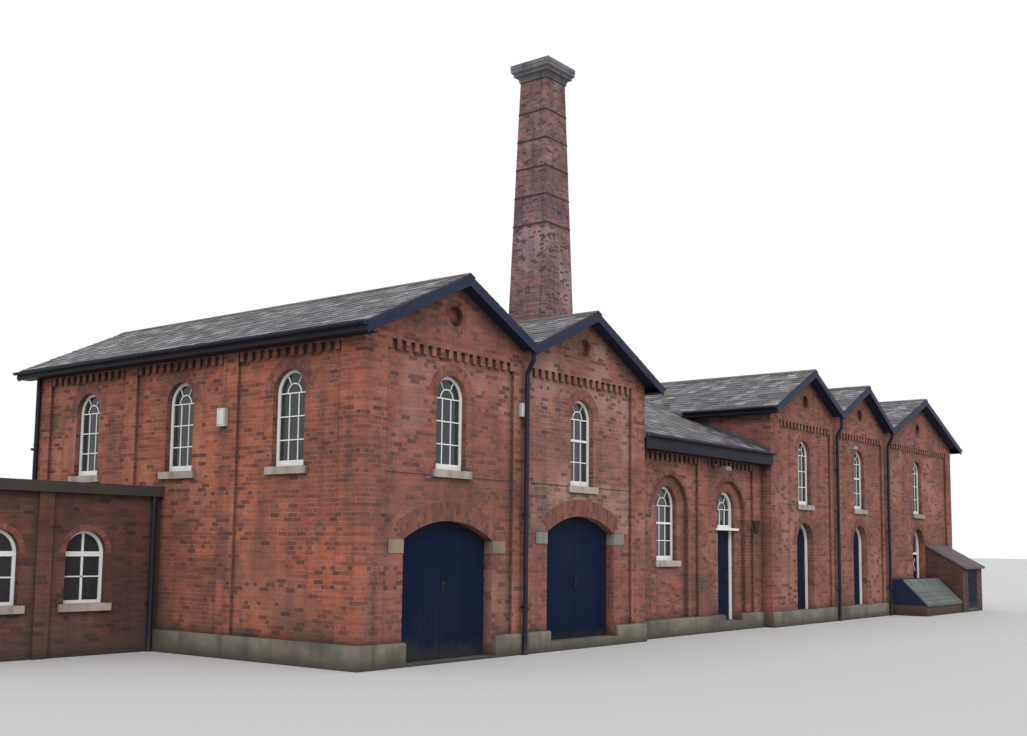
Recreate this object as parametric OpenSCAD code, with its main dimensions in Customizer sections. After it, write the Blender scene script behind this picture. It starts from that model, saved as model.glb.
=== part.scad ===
// Brick pumping station: a range of five gabled blocks joined by a low link, with a tall square
// chimney behind, a flat-roofed annex, a lean-to store and a cellar hatch.
// Millimetres, +Z up. The origin is the foot of the front left corner: +X runs along the front
// to the right and +Y runs back into the range.

/* [Plan] */
// Depth of the gabled blocks from front to rear
range_depth = 10200; // [9600:50:11500]
// Width of the pilasters at the outer corners of the blocks
corner_w = 570; // [500:10:700]
// Width of the piers under the roof valleys
pier_w = 600; // [500:10:700]
// Width of the front panel of gable 1, between its pilasters
panel_1_w = 3600; // [3500:10:4200]
// Width of the front panel of gable 2
panel_2_w = 3770; // [3600:10:4200]
// Width of the low link between gables 2 and 3
link_w = 6610; // [6400:10:7400]
// Width of the front panel of gable 3
panel_3_w = 3480; // [3200:10:4000]
// Width of the front panel of gable 4
panel_4_w = 3620; // [3300:10:4100]
// Width of the front panel of gable 5
panel_5_w = 5900; // [5800:10:6300]
// How far the link stands back from the gables, at the front and at the rear
link_setback = 300; // [240:10:500]

/* [Walls] */
// Thickness of a wall behind its panel face
wall_t = 340; // [320:5:400]
// How far pilasters and gables stand proud of the panels
relief = 60; // [30:5:90]
// Width of the pilasters between the bays of the end walls
side_pilaster_w = 420; // [300:10:500]
// Height of the stone plinth
plinth_h = 420; // [300:10:440]
// How far the plinth stands proud of the pilasters
plinth_proj = 60; // [20:5:100]

/* [Storeys] */
// Level of the floor and sill of cart doorway 1
floor_1_z = 40; // [20:10:100]
// Level of the floor and sill of cart doorway 2
floor_2_z = 190; // [100:10:250]
// Level of the link's floor
link_floor_z = 250; // [150:10:350]
// Level of the floor in gables 3, 4 and 5
floor_east_z = 400; // [300:10:440]
// Underside of the upper floors
upper_floor_z = 3000; // [2980:10:3080]
// Thickness of the upper floors
upper_floor_t = 200; // [150:10:220]

/* [Roof heights] */
// Slates over the outer face of gable 1's end wall
eave_1_z = 5980; // [5950:10:6050]
// Ridges of gables 1 and 2
ridge_west_z = 7120; // [7000:10:7400]
// Valley between gables 1 and 2
valley_12_z = 6110; // [6050:10:6200]
// Slates over gable 2's wall beside the link
eave_2_z = 5950; // [5930:10:6000]
// Slates over gable 3's wall beside the link
eave_3_z = 6130; // [6050:10:6200]
// Ridges of gables 3 and 4
ridge_mid_z = 7280; // [7200:10:7500]
// Valley between gables 3 and 4
valley_34_z = 6250; // [6150:10:6300]
// Valley between gables 4 and 5
valley_45_z = 6120; // [6080:10:6200]
// Ridge of gable 5
ridge_east_z = 7420; // [7300:10:7700]
// Slates over gable 5's end wall
eave_5_z = 6050; // [6000:10:6120]
// Slates over the link's front face
link_eave_z = 4880; // [4800:10:4950]
// Ridge of the link
link_ridge_z = 6850; // [6600:10:6900]

/* [Roofs] */
// Thickness of the roofs, measured upright
roof_t = 120; // [90:5:140]
// How far the roofs reach past the gable faces
verge_over = 350; // [250:10:400]
// How far the roofs reach past the end walls
eave_over = 270; // [200:10:320]
// How far the link's roof reaches past its front
link_over = 330; // [280:10:360]
// Step from the slates down to the boards under their edge
board_drop = 20; // [10:1:30]
// Depth of the barge boards
barge_h = 200; // [160:10:240]
// Thickness of the barge boards and fascias
board_t = 30; // [20:5:45]
// Depth of the fascia boards of the gabled blocks
fascia_h = 165; // [140:5:170]
// Underside of the link's fascia
link_fascia_z = 4390; // [4375:5:4450]
// Thickness of the soffit boards
soffit_t = 15; // [10:1:25]
// Radius of the gutters
gutter_r = 55; // [45:1:65]
// Wall of the gutters
gutter_wall = 5; // [3:1:8]
// Step from the slates down to the gutters
gutter_drop = 40; // [25:1:60]
// Radius of the downpipes
downpipe_r = 48; // [40:1:55]
// Gap between the annex's downpipe and the plinth
pipe_gap = 10; // [5:1:20]
// Radius of the link's own downpipe
link_pipe_r = 35; // [25:1:45]
// Distance of the link's downpipe from gable 2
link_pipe_dx = 120; // [60:10:400]
// Half width of the lead in the roof valleys
valley_half = 110; // [80:5:150]
// Thickness of the valley lead and its boards
valley_t = 40; // [25:1:60]
// Half width of the ridge tiles
ridge_half = 140; // [110:5:180]
// Thickness of the ridge tiles
ridge_t = 25; // [15:1:40]

/* [Brick courses] */
// Top of the dentil course on the gables
dentil_top = 5700; // [5600:10:5740]
// Height of a dentil, two courses
dentil_h = 166; // [140:2:190]
// Width of a dentil
dentil_w = 112; // [90:2:130]
// Spacing of the dentils, a brick's length
dentil_pitch = 232; // [200:2:260]
// Top of the dentil course under the end walls' eaves
side_dentil_top = 5640; // [5560:10:5650]
// Top of the dentil course on the link
link_dentil_top = 4370; // [4300:10:4370]

/* [Windows] */
// Width of the upper window openings
window_w = 850; // [760:10:950]
// Sill level of gable 1's and the end walls' windows
sill_west_z = 3480; // [3400:10:3600]
// Sill level of the other upper windows
sill_east_z = 3380; // [3360:10:3500]
// Crown of the upper windows
window_crown_z = 5240; // [5150:10:5300]
// How deep the window frames stand in the wall
window_reveal = 115; // [90:5:140]
// Face width of the window frames
frame_w = 60; // [45:5:80]
// Depth of the window frames
frame_t = 60; // [50:5:70]
// Thickness of the glass
glass_t = 6; // [4:1:10]
// Height of the stone sills
sill_h = 140; // [100:5:150]
// How far a sill reaches past the opening at each side
sill_side = 115; // [60:5:150]
// How far a sill stands out from the panel
sill_proj = 65; // [40:5:90]
// Sill level of the link's windows
link_sill_z = 1800; // [1700:10:1900]
// Crown of the link's windows and door
link_crown_z = 3600; // [3500:10:3650]
// Sill level of the ground-floor windows at the rear
rear_sill_z = 1050; // [900:10:1200]
// Crown of the ground-floor windows at the rear
rear_crown_z = 2650; // [2500:10:2750]
// Radius of the round recess in each gable
oculus_r = 200; // [150:5:230]
// Level of the centre of the round recesses
oculus_z = 6360; // [6320:10:6400]
// Depth of the round recesses
oculus_depth = 120; // [80:5:200]

/* [Cart doorways] */
// Width of the two cart doorways
cart_w = 2500; // [2300:10:2600]
// Springing of cart doorway 1
cart_1_spring_z = 2200; // [2100:10:2300]
// Springing of cart doorway 2
cart_2_spring_z = 2400; // [2300:10:2450]
// Rise of the two cart arches
cart_rise = 350; // [300:5:380]
// Height of the springer stones
springer_h = 240; // [160:5:280]
// Width of the springer stones
springer_w = 390; // [300:10:420]
// How far the springer stones stand out from the panel
springer_proj = 15; // [5:1:30]

/* [Arched doorways] */
// Width of the arched doorways of gables 3, 4 and 5
arch_door_w = 1150; // [1050:10:1200]
// Springing of the arched doorways
arch_spring_z = 2300; // [2250:10:2320]
// Top of the transom in gable 5's doorway
transom_z = 2050; // [2000:10:2150]
// Distance of the link's recesses from its middle
recess_dx = 1540; // [1450:10:1600]
// Width of the link's tall arched recesses
recess_w = 1780; // [1650:10:1900]
// Crown of the link's recesses
recess_crown_z = 3870; // [3850:10:3950]
// Depth of the link's recesses
recess_depth = 100; // [70:5:120]
// Width of the window and doorway openings in the link's recesses
link_open_w = 950; // [880:10:1000]
// Top of the ledge over the link's door
ledge_z = 2640; // [2550:10:2700]
// Length of the ledge
ledge_l = 1200; // [1100:10:1400]
// Height of the ledge
ledge_h = 60; // [40:5:80]
// How far the ledge stands out from the recess
ledge_proj = 60; // [30:5:90]
// Width of the link's pilasters
link_pilaster_w = 520; // [400:10:560]

/* [Doors] */
// How deep the doors stand behind the panel face
door_reveal = 200; // [180:5:205]
// How much wider the doorways are behind the outer arch, at each side
rebate = 60; // [50:5:70]
// How much higher the square rebate reaches than the arch
rebate_over = 45; // [40:1:60]
// Thickness of the boarded door leaves
leaf_t = 50; // [40:2:54]
// Gap all round a door leaf
leaf_gap = 8; // [7:1:10]
// Gap between the two leaves of a pair
pair_gap = 10; // [8:1:16]
// Face width of the door frames
door_frame_w = 75; // [60:5:90]
// Depth of the door frames
door_frame_t = 50; // [40:1:54]
// Radius of the hinge pins
pin_r = 9; // [7:0.5:11]
// Running clearance round a hinge pin
pin_fit = 0.3; // [0.2:0.05:0.4]
// Outer radius of the hinge eyes
eye_r = 18; // [16:0.5:19]
// Height of the hinge straps and eyes
strap_h = 60; // [40:5:90]
// Thickness of the hinge straps
strap_t = 8; // [5:0.5:9]

/* [Chimney] */
// Distance of the chimney's axis from the left end of the range
chimney_x = 20840; // [20000:10:21500]
// Side of the chimney's foot, which stands against the rear wall
chimney_foot_w = 2860; // [2800:10:3100]
// Height of the chimney's foot
chimney_foot_h = 2600; // [1500:50:3000]
// Side of the shaft at the ground
chimney_base_w = 2315; // [2200:5:2400]
// Side of the shaft under the cap
chimney_top_w = 1205; // [1100:5:1300]
// Side of the flue at the ground
flue_base_w = 1200; // [1000:10:1300]
// Side of the flue at the top
flue_top_w = 560; // [450:10:620]
// Height of the brick shaft
shaft_h = 19590; // [18500:10:21000]
// Half width of the corona, the widest moulding of the cap
corona_half = 870; // [830:5:950]
// How far the cap's lowest band stands out from the shaft
cap_neck_proj = 40; // [20:5:60]
// Height of the cap's lowest band
cap_neck_h = 80; // [60:5:100]
// Height and reach of the cove above it
cap_cove = 150; // [120:5:160]
// Height of the flat band above the cove
cap_fillet_h = 70; // [50:5:90]
// Height of the splay under the corona
cap_splay_h = 70; // [50:5:90]
// Height of the corona's upright face
corona_h = 130; // [100:5:160]
// How far the cap slab stands past the corona
cap_slab_over = 12; // [6:1:20]
// Height of the cap slab
cap_slab_h = 150; // [100:5:180]
// Height of the iron bands
band_h = 60; // [40:5:80]
// Thickness of the iron bands
band_t = 12; // [8:1:16]
// Distance of the top band below the top of the shaft
band_drop = 1290; // [1200:10:1600]
// Spacing of the bands
band_pitch = 1087; // [900:1:1200]

/* [Annex] */
// Distance of the annex's front wall behind the front of the range
annex_y = 5600; // [5450:10:5700]
// Length of the annex
annex_l = 4900; // [4700:10:5300]
// Top of the annex's walls, under the coping
annex_wall_z = 2990; // [2900:10:3050]
// Height of the coping
coping_h = 200; // [120:5:220]
// How far the coping stands out
coping_proj = 50; // [20:5:80]
// Thickness of the annex's walls
annex_wall_t = 300; // [230:5:340]
// Level of the annex's floor
annex_floor_z = 150; // [100:10:200]
// Top of the annex's flat roof
annex_roof_z = 2900; // [2800:10:2950]
// Thickness of the annex's roof
annex_roof_t = 160; // [120:5:200]
// Width of the annex's windows
annex_window_w = 850; // [760:10:950]
// Sill level of the annex's windows
annex_sill_z = 960; // [900:10:1050]
// Crown of the annex's windows
annex_crown_z = 2310; // [2200:10:2400]
// Distance of the annex's middle pier from the range
annex_pier_dx = 2405; // [2300:5:2500]
// Distance of the annex's windows from the pier between them
annex_window_dx = 875; // [850:5:950]
// Width of the annex's piers
annex_pier_w = 290; // [220:10:360]

/* [Lean-to store] */
// Gap between the store's roof and the pilaster at the right end of the range
store_gap = 5; // [3:1:40]
// Width of the store
store_w = 2190; // [2000:10:2200]
// Depth of the store in front of the gables
store_depth = 1200; // [1180:10:1300]
// Thickness of the store's walls
store_wall_t = 230; // [110:5:240]
// Top of the store's roof at the panel face
store_top_z = 2330; // [2200:10:2400]
// Top of the store's roof over its front
store_eave_z = 1630; // [1610:5:1700]
// Thickness of the store's roof, measured upright
store_roof_t = 70; // [50:5:90]
// How far the store's roof reaches past its front
store_over = 110; // [80:5:150]
// How far the store's roof reaches past its sides
store_side_over = 35; // [20:5:50]
// Width of the store's doorway
store_door_w = 1000; // [900:10:1100]
// Top of the store's doorway
store_door_top = 1460; // [1400:5:1465]
// Level of the store's floor
store_floor_z = 130; // [100:10:160]

/* [Cellar hatch] */
// Width of the hatch
hatch_w = 3600; // [3300:10:3640]
// Depth of the hatch in front of the gables
hatch_depth = 1150; // [1050:10:1170]
// Depth of the flat board at the hatch's top
hatch_flat = 380; // [300:10:450]
// Top of the hatch at the wall
hatch_top_z = 1170; // [1100:10:1250]
// Top of the lids over the hatch's low front
hatch_low_z = 410; // [400:5:460]
// Height of the hatch's brick base
hatch_base_h = 330; // [280:10:335]
// Thickness of the hatch's brick walls
hatch_wall_t = 110; // [100:5:160]
// Thickness of the hatch's timber cheeks
cheek_t = 60; // [40:5:70]
// Thickness of the hatch's lids
lid_t = 42; // [35:1:44]
// Radius of the lids' hinge pins
lid_pin_r = 8; // [6:0.5:9]
// Outer radius of the lids' hinge eyes
lid_eye_r = 15; // [13:0.5:16]

/* [Hidden] */
brick = [0.55, 0.27, 0.21];
stone = [0.62, 0.58, 0.50];
slate = [0.40, 0.39, 0.40];
navy = [0.09, 0.13, 0.26];
white = [0.90, 0.90, 0.88];
// Number of sides of the round parts, which stay true circles
$fn = 48;
// A height above every gable
high = 9000;
// Depth of a cut that has to come out at a face
past = 20;
cap_top = cap_neck_h + cap_cove + cap_fillet_h + cap_splay_h + corona_h;
// Gap between the roof slabs and the ridge line
ridge_gap = 10;
// Clearance between a fitted piece and its seat
seat = 0.3;

panel_w = [panel_1_w, panel_2_w, panel_3_w, panel_4_w, panel_5_w];
link_x = 2 * corner_w + panel_1_w + pier_w + panel_2_w;
east_x = link_x + link_w;
panel_x = [corner_w, corner_w + panel_1_w + pier_w, east_x + corner_w,
    east_x + corner_w + panel_3_w + pier_w,
    east_x + corner_w + panel_3_w + panel_4_w + 2 * pier_w];
range_w = panel_x[4] + panel_5_w + corner_w;
mid_x = [for (k = [0:4]) panel_x[k] + panel_w[k] / 2];
// Lines of the three roof valleys
valley_x = [panel_x[1] - pier_w / 2, panel_x[3] - pier_w / 2, panel_x[4] - pier_w / 2];
link_mid_x = link_x + link_w / 2;
recess_x = [link_mid_x - recess_dx, link_mid_x + recess_dx];
// Depths of the inner wall faces, and of the faces of the link
inner_y = relief + wall_t;
link_y = link_setback + relief;
link_inner_y = link_y + wall_t;
link_recess_y = link_y + recess_depth;

ridge_z = [ridge_west_z, ridge_west_z, ridge_mid_z, ridge_mid_z, ridge_east_z];
// Tops of the roofs over the two groups of gables, from left to right
west_line = [[0, eave_1_z], [mid_x[0], ridge_west_z], [valley_x[0], valley_12_z],
    [mid_x[1], ridge_west_z], [link_x, eave_2_z]];
east_line = [[east_x, eave_3_z], [mid_x[2], ridge_mid_z], [valley_x[1], valley_34_z],
    [mid_x[3], ridge_mid_z], [valley_x[2], valley_45_z], [mid_x[4], ridge_east_z],
    [range_w, eave_5_z]];
// Feet of each gable's two slopes, and how far the slates start from that foot
foot_left = [west_line[0], west_line[2], east_line[0], east_line[2], east_line[4]];
foot_right = [west_line[2], west_line[4], east_line[2], east_line[4], east_line[6]];
start_left = [-eave_over, valley_half, -eave_over, valley_half, valley_half];
start_right = [valley_half, -eave_over, valley_half, valley_half, -eave_over];
// Section of the link's roof across the range: front foot, ridge, rear foot
link_line = [[link_setback, link_eave_z], [range_depth / 2, link_ridge_z],
    [range_depth - link_setback, link_eave_z]];

// Rise of a slope from its foot a to its top b
function pitch(a, b) = (b[1] - a[1]) / abs(b[0] - a[0]);
// The point over past a slope's foot
function beyond(a, b, over) = [a[0] - sign(b[0] - a[0]) * over, a[1] - pitch(a, b) * over];
// Edges of the free eaves
eaves = [beyond(west_line[0], west_line[1], eave_over),
    beyond(west_line[4], west_line[3], eave_over),
    beyond(east_line[0], east_line[1], eave_over),
    beyond(east_line[6], east_line[5], eave_over)];
link_eave = beyond(link_line[0], link_line[1], link_over);
// Underside of the fascia boards at each free eave
fascia_z = [for (e = eaves) e[1] - board_drop - fascia_h];
// Depth at which the link's slates reach a height
function link_top_y(z) = link_setback + (z - link_eave_z) / pitch(link_line[0], link_line[1]);

// Doorways of the five gables, from left to right
door_z = [floor_1_z, floor_2_z, floor_east_z, floor_east_z, floor_east_z];
door_w = [cart_w, cart_w, arch_door_w, arch_door_w, arch_door_w];
spring_z = [cart_1_spring_z, cart_2_spring_z, arch_spring_z, arch_spring_z, arch_spring_z];
rise = [cart_rise, cart_rise, arch_door_w / 2, arch_door_w / 2, arch_door_w / 2];
crown_z = [for (k = [0:4]) spring_z[k] + rise[k]];
sill_z = [sill_west_z, sill_east_z, sill_east_z, sill_east_z, sill_east_z];
link_spring_z = link_crown_z - link_open_w / 2;
function door_l(k) = mid_x[k] - door_w[k] / 2;
function door_r(k) = mid_x[k] + door_w[k] / 2;
// How far a door's head reaches over the arch in front of it
head_over = rebate_over - leaf_gap - 2;
// Hinge axis: in from the leaf's edge, and behind the leaf
axis_dx = 20;
axis_dy = eye_r + 2;
// Depths at which the leaves start, behind a stop and behind a door frame
leaf_y = door_reveal + leaf_gap;
framed_leaf_y = door_reveal + door_frame_t + leaf_gap;
// Lengths of the leaves
pair_l = cart_w / 2 + rebate - leaf_gap - pair_gap / 2;
arch_l = arch_door_w + 2 * (rebate - leaf_gap);
link_l = link_open_w + 2 * (rebate - leaf_gap);
// Heads of the leaves of gables 1 to 4, and of the two that end behind a transom
heads = [for (k = [0:3]) crown_z[k] + head_over];
gable_5_head = transom_z - 35;
link_head = ledge_z - 35;

side_panel_l = (range_depth - 2 * corner_w - 2 * side_pilaster_w) / 3;
side_panel_y = [for (i = [0:2]) corner_w + i * (side_panel_l + side_pilaster_w)];
chimney_y = range_depth + chimney_foot_w / 2;
annex_mid_x = [-annex_pier_dx - annex_window_dx, -annex_pier_dx + annex_window_dx];
// Inner faces of the rooms of the five gabled blocks
room_x0 = [inner_y, valley_x[0] + wall_t / 2, east_x + wall_t, valley_x[1] + wall_t / 2,
    valley_x[2] + wall_t / 2];
room_x1 = [valley_x[0] - wall_t / 2, link_x - wall_t, valley_x[1] - wall_t / 2,
    valley_x[2] - wall_t / 2, range_w - inner_y];

store_x = range_w - corner_w - store_gap - store_side_over - store_w;
store_door_x = store_x + (store_w - store_door_w) / 2;
store_rise = (store_top_z - store_eave_z) / (store_depth + relief);
function store_top(y) = store_eave_z + store_rise * (y + store_depth);

hatch_x = store_x - hatch_w;
// Heights of the lids' upper and lower faces over a depth y, and of the frame under them
hatch_s = (hatch_top_z - hatch_low_z) / (hatch_depth - hatch_flat);
lid_v = lid_t * sqrt(1 + hatch_s * hatch_s);
function lid_top(y) = hatch_top_z + hatch_s * (y + hatch_flat);
function lid_under(y) = lid_top(y) - lid_v;
function bed(y) = lid_under(y) - seat;
// Right edge of the pair of lids, a lid's length and the line of the hinges
lids_x1 = hatch_x + hatch_w - cheek_t - leaf_gap;
lids_l = (lids_x1 - hatch_x - pair_gap) / 2;
lid_axis_y = -hatch_flat - 5;
lid_axis_z = hatch_top_z + 18;
function lid_x(i) = hatch_x + i * (lids_l + pair_gap);
function lid_hinges(i) = [lid_x(i) + lids_l * 0.2, lid_x(i) + lids_l * 0.8];

// A block between two corners
module block(x0, x1, y0, y1, z0, z1) {
  translate([x0, y0, z0]) cube([x1 - x0, y1 - y0, z1 - z0]);
}

// A flat shape in X and Z, drawn out along Y
module along_y(y0, y1) {
  translate([0, y1, 0]) rotate([90, 0, 0]) linear_extrude(y1 - y0) children();
}

// A flat shape in Y and Z, drawn out along X
module along_x(x0, x1) {
  translate([x0, 0, 0]) rotate([90, 0, 90]) linear_extrude(x1 - x0) children();
}

// Turns what is made for the front to the rear of the range
module to_rear() {
  translate([0, range_depth, 0]) mirror([0, 1, 0]) children();
}

module front_and_rear() {
  children();
  to_rear() children();
}

// Turns what is made for the left end wall to the right end wall
module to_east_end() {
  translate([range_w, 0, 0]) mirror([1, 0, 0]) children();
}

// A round-headed outline w wide, with its foot at z0 and its crown at z1
module round_head(w, z0, z1) {
  translate([-w / 2, z0]) square([w, z1 - w / 2 - z0]);
  intersection() {
    translate([0, z1 - w / 2]) circle(r = w / 2);
    translate([-w / 2, z1 - w / 2 - 1]) square([w, w]);
  }
}

// An outline with a segmental arch over its springing
module segment_head(w, z0, spring, arch_rise) {
  r = (w * w / 4 + arch_rise * arch_rise) / (2 * arch_rise);
  translate([-w / 2, z0]) square([w, spring - z0]);
  intersection() {
    translate([0, spring + arch_rise - r]) circle(r = r);
    translate([-w / 2, spring - 1]) square([w, arch_rise + 2]);
  }
}

// What lies under a roof line once off is taken from its height
module under_line(line, off) {
  polygon(concat([[line[0][0], -past]], [for (p = line) [p[0], p[1] - off]],
      [[line[len(line) - 1][0], -past]]));
}

module under_gables() {
  along_y(-past, range_depth + past) under_line(west_line, roof_t + seat);
  along_y(-past, range_depth + past) under_line(east_line, roof_t + seat);
}

module under_link_roof() {
  along_x(link_x, east_x) under_line(link_line, roof_t + seat);
}

// A window opening with the pocket of its sill, through a wall whose face is at y = 0
module window_cut(w, z0, z1) {
  along_y(-past, wall_t + past) round_head(w, z0, z1);
  block(-w / 2 - sill_side, w / 2 + sill_side, -past, window_reveal + frame_t, z0 - sill_h, z0);
}

module window_sill(w, z0) {
  block(-w / 2 - sill_side, w / 2 + sill_side, -sill_proj, window_reveal + frame_t,
      z0 - sill_h, z0);
}

module window_frame(w, z0, z1) {
  along_y(window_reveal, window_reveal + frame_t) difference() {
    round_head(w - 2 * seat, z0, z1 - seat);
    round_head(w - 2 * frame_w, z0 + frame_w, z1 - frame_w);
  }
}

module window_pane(w, z0, z1) {
  y = window_reveal + (frame_t - glass_t) / 2;
  along_y(y, y + glass_t)
      round_head(w - 2 * frame_w - 2 * seat, z0 + frame_w + seat, z1 - frame_w - seat);
}

// The children below draw one window from its width, sill level and crown level
module front_windows() {
  for (k = [0:4]) translate([mid_x[k], relief, 0]) {
    $w = window_w;
    $z0 = sill_z[k];
    $z1 = window_crown_z;
    children();
  }
}

module rear_upper_windows() {
  to_rear() front_windows() children();
}

// The rear has no ground-floor window behind the chimney's foot
module rear_lower_windows() {
  to_rear() for (k = [0, 1, 2, 4]) translate([mid_x[k], relief, 0]) {
    $w = window_w;
    $z0 = rear_sill_z;
    $z1 = rear_crown_z;
    children();
  }
}

// The windows of an end wall that faces -X
module end_windows() {
  for (y = side_panel_y) translate([relief, y + side_panel_l / 2, 0]) rotate([0, 0, -90]) {
    $w = window_w;
    $z0 = sill_west_z;
    $z1 = window_crown_z;
    children();
  }
}

module link_windows(at) {
  for (x = at) translate([x, link_recess_y, 0]) {
    $w = link_open_w;
    $z0 = link_sill_z;
    $z1 = link_crown_z;
    children();
  }
}

module annex_windows() {
  for (x = annex_mid_x) translate([x, annex_y, 0]) {
    $w = annex_window_w;
    $z0 = annex_sill_z;
    $z1 = annex_crown_z;
    children();
  }
}

module all_windows() {
  front_windows() children();
  rear_upper_windows() children();
  rear_lower_windows() children();
  end_windows() children();
  to_east_end() end_windows() children();
  link_windows([recess_x[0]]) children();
  to_rear() link_windows(recess_x) children();
  annex_windows() children();
}

// The open shape of gable k's doorway: the arch in front and the square rebate behind it
module doorway(k) {
  w = door_w[k];
  front = -relief - past;
  translate([mid_x[k], relief, 0]) {
    along_y(front, door_reveal) segment_head(w, door_z[k], spring_z[k], rise[k]);
    block(-w / 2 - rebate, w / 2 + rebate, door_reveal, wall_t + past, door_z[k],
        crown_z[k] + rebate_over);
    block(-w / 2, w / 2, front, wall_t + past, -past, door_z[k]);
  }
}

// The part of gable k's front over its doorway's springing
module front_wall(k) {
  color(brick) difference() {
    intersection() {
      union() {
        block(panel_x[k], panel_x[k] + panel_w[k], relief, inner_y, spring_z[k], high);
        block(panel_x[k], panel_x[k] + panel_w[k], 0, inner_y, dentil_top, high);
      }
      under_gables();
    }
    doorway(k);
    translate([mid_x[k], relief, 0]) window_cut(window_w, sill_z[k], window_crown_z);
    along_y(-past, oculus_depth) translate([mid_x[k], oculus_z]) circle(r = oculus_r);
  }
}

module front_wall_1() { front_wall(0); }
module front_wall_2() { front_wall(1); }
module front_wall_3() { front_wall(2); }
module front_wall_4() { front_wall(3); }
module front_wall_5() { front_wall(4); }

// The two stones that carry the arch of gable k's cart doorway
module springers(k) {
  for (s = [-1, 1])
    translate([mid_x[k] + s * (door_w[k] / 2 + springer_w / 2) - springer_w / 2,
        relief - springer_proj, spring_z[k] - springer_h])
      cube([springer_w, door_reveal + springer_proj, springer_h]);
}

// One of the link's long walls, between two heights
module link_wall(z0, z1) {
  block(link_x, east_x, link_y, link_inner_y, z0, z1);
  for (x = [link_x, link_mid_x - link_pilaster_w / 2, east_x - link_pilaster_w])
    block(x, x + link_pilaster_w, link_setback, link_inner_y, z0, z1);
}

module link_recesses() {
  for (x = recess_x) translate([x, link_y, 0])
    along_y(-past, recess_depth) round_head(recess_w, plinth_h, recess_crown_z);
}

// The link's doorway: an arch through the recess and a square rebate behind it
module link_doorway() {
  w = link_open_w;
  front = -recess_depth - relief - past;
  translate([recess_x[1], link_recess_y, 0]) {
    along_y(front, door_reveal - recess_depth) round_head(w, link_floor_z, link_crown_z);
    block(-w / 2 - rebate, w / 2 + rebate, door_reveal - recess_depth, wall_t + past,
        link_floor_z, link_crown_z + rebate_over);
    block(-w / 2, w / 2, front, wall_t + past, -past, link_floor_z);
    block(-ledge_l / 2, ledge_l / 2, -past, door_reveal - recess_depth, ledge_z - ledge_h,
        ledge_z);
  }
}

module link_openings() {
  link_recesses();
  link_windows([recess_x[0]]) window_cut($w, $z0, $z1);
  link_doorway();
}

module front_piers() {
  color(brick) difference() {
    union() {
      for (k = [0:4])
        block(panel_x[k], panel_x[k] + panel_w[k], relief, inner_y, 0, spring_z[k]);
      for (k = [0:3]) block(panel_x[k], panel_x[k] + panel_w[k], 0, inner_y, 0, plinth_h);
      link_wall(0, link_spring_z);
      block(link_x, east_x, link_setback, link_inner_y, 0, plinth_h);
    }
    for (k = [0:4]) doorway(k);
    for (k = [0:1]) springers(k);
    link_openings();
  }
}

module link_front_wall() {
  color(brick) difference() {
    intersection() {
      union() {
        link_wall(link_spring_z, high);
        block(link_x, east_x, link_setback, link_inner_y, link_dentil_top, high);
      }
      under_link_roof();
    }
    link_openings();
  }
}

// An end wall that faces -X, with the two corners of the range
module end_wall() {
  block(relief, inner_y, relief, range_depth - relief, 0, high);
  block(0, inner_y, corner_w, range_depth - corner_w, side_dentil_top, high);
  for (y = [side_panel_y[1], side_panel_y[2]])
    block(0, inner_y, y - side_pilaster_w, y, 0, high);
  for (y = [0, range_depth - corner_w]) block(0, inner_y, y, y + corner_w, 0, high);
  for (y = [0, range_depth - inner_y]) block(0, corner_w, y, y + inner_y, 0, high);
}

// The rendered foot of the left end wall, round the front corner
module end_plinth() {
  block(-plinth_proj, inner_y, -plinth_proj, annex_y, 0, plinth_h);
  block(-plinth_proj, corner_w, -plinth_proj, inner_y, 0, plinth_h);
}

module west_end_wall() {
  color(brick) difference() {
    union() {
      intersection() {
        end_wall();
        under_gables();
      }
      end_plinth();
    }
    end_windows() window_cut($w, $z0, $z1);
  }
}

module east_end_wall() {
  color(brick) difference() {
    intersection() {
      to_east_end() end_wall();
      under_gables();
    }
    to_east_end() end_windows() window_cut($w, $z0, $z1);
  }
}

// A wall right across the range, with the piers at its two ends
module cross_wall(x, pier_x0, pier_x1) {
  block(x, x + wall_t, relief, range_depth - relief, 0, high);
  for (y = [0, range_depth - inner_y]) block(pier_x0, pier_x1, y, y + inner_y, 0, high);
}

module cross_walls() {
  color(brick) intersection() {
    union() {
      for (v = valley_x) cross_wall(v - wall_t / 2, v - pier_w / 2, v + pier_w / 2);
      cross_wall(link_x - wall_t, link_x - corner_w, link_x);
      cross_wall(east_x, east_x, east_x + corner_w);
    }
    under_gables();
  }
}

module rear_walls() {
  color(brick) difference() {
    to_rear() {
      intersection() {
        union() for (k = [0:4]) {
          block(panel_x[k], panel_x[k] + panel_w[k], relief, inner_y, 0, high);
          block(panel_x[k], panel_x[k] + panel_w[k], 0, inner_y, dentil_top, high);
        }
        under_gables();
      }
      intersection() {
        union() {
          link_wall(0, high);
          block(link_x, east_x, link_setback, link_inner_y, link_dentil_top, high);
        }
        under_link_roof();
      }
    }
    rear_upper_windows() window_cut($w, $z0, $z1);
    rear_lower_windows() window_cut($w, $z0, $z1);
    to_rear() link_recesses();
    to_rear() link_windows(recess_x) window_cut($w, $z0, $z1);
    to_rear() for (x = mid_x)
      along_y(-past, oculus_depth) translate([x, oculus_z]) circle(r = oculus_r);
  }
}

module ground_floors() {
  t = annex_wall_t;
  color("dimgray") {
    for (k = [0:4])
      block(room_x0[k], room_x1[k], inner_y, range_depth - inner_y, 0, door_z[k]);
    block(link_x, east_x, link_inner_y, range_depth - link_inner_y, 0, link_floor_z);
    difference() {
      block(-annex_l + t, relief, annex_y + t, range_depth - t, 0, annex_floor_z);
      end_wall();
    }
    block(store_x + store_wall_t, store_x + store_w - store_wall_t,
        -store_depth + store_wall_t, relief, 0, store_floor_z);
  }
}

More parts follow.
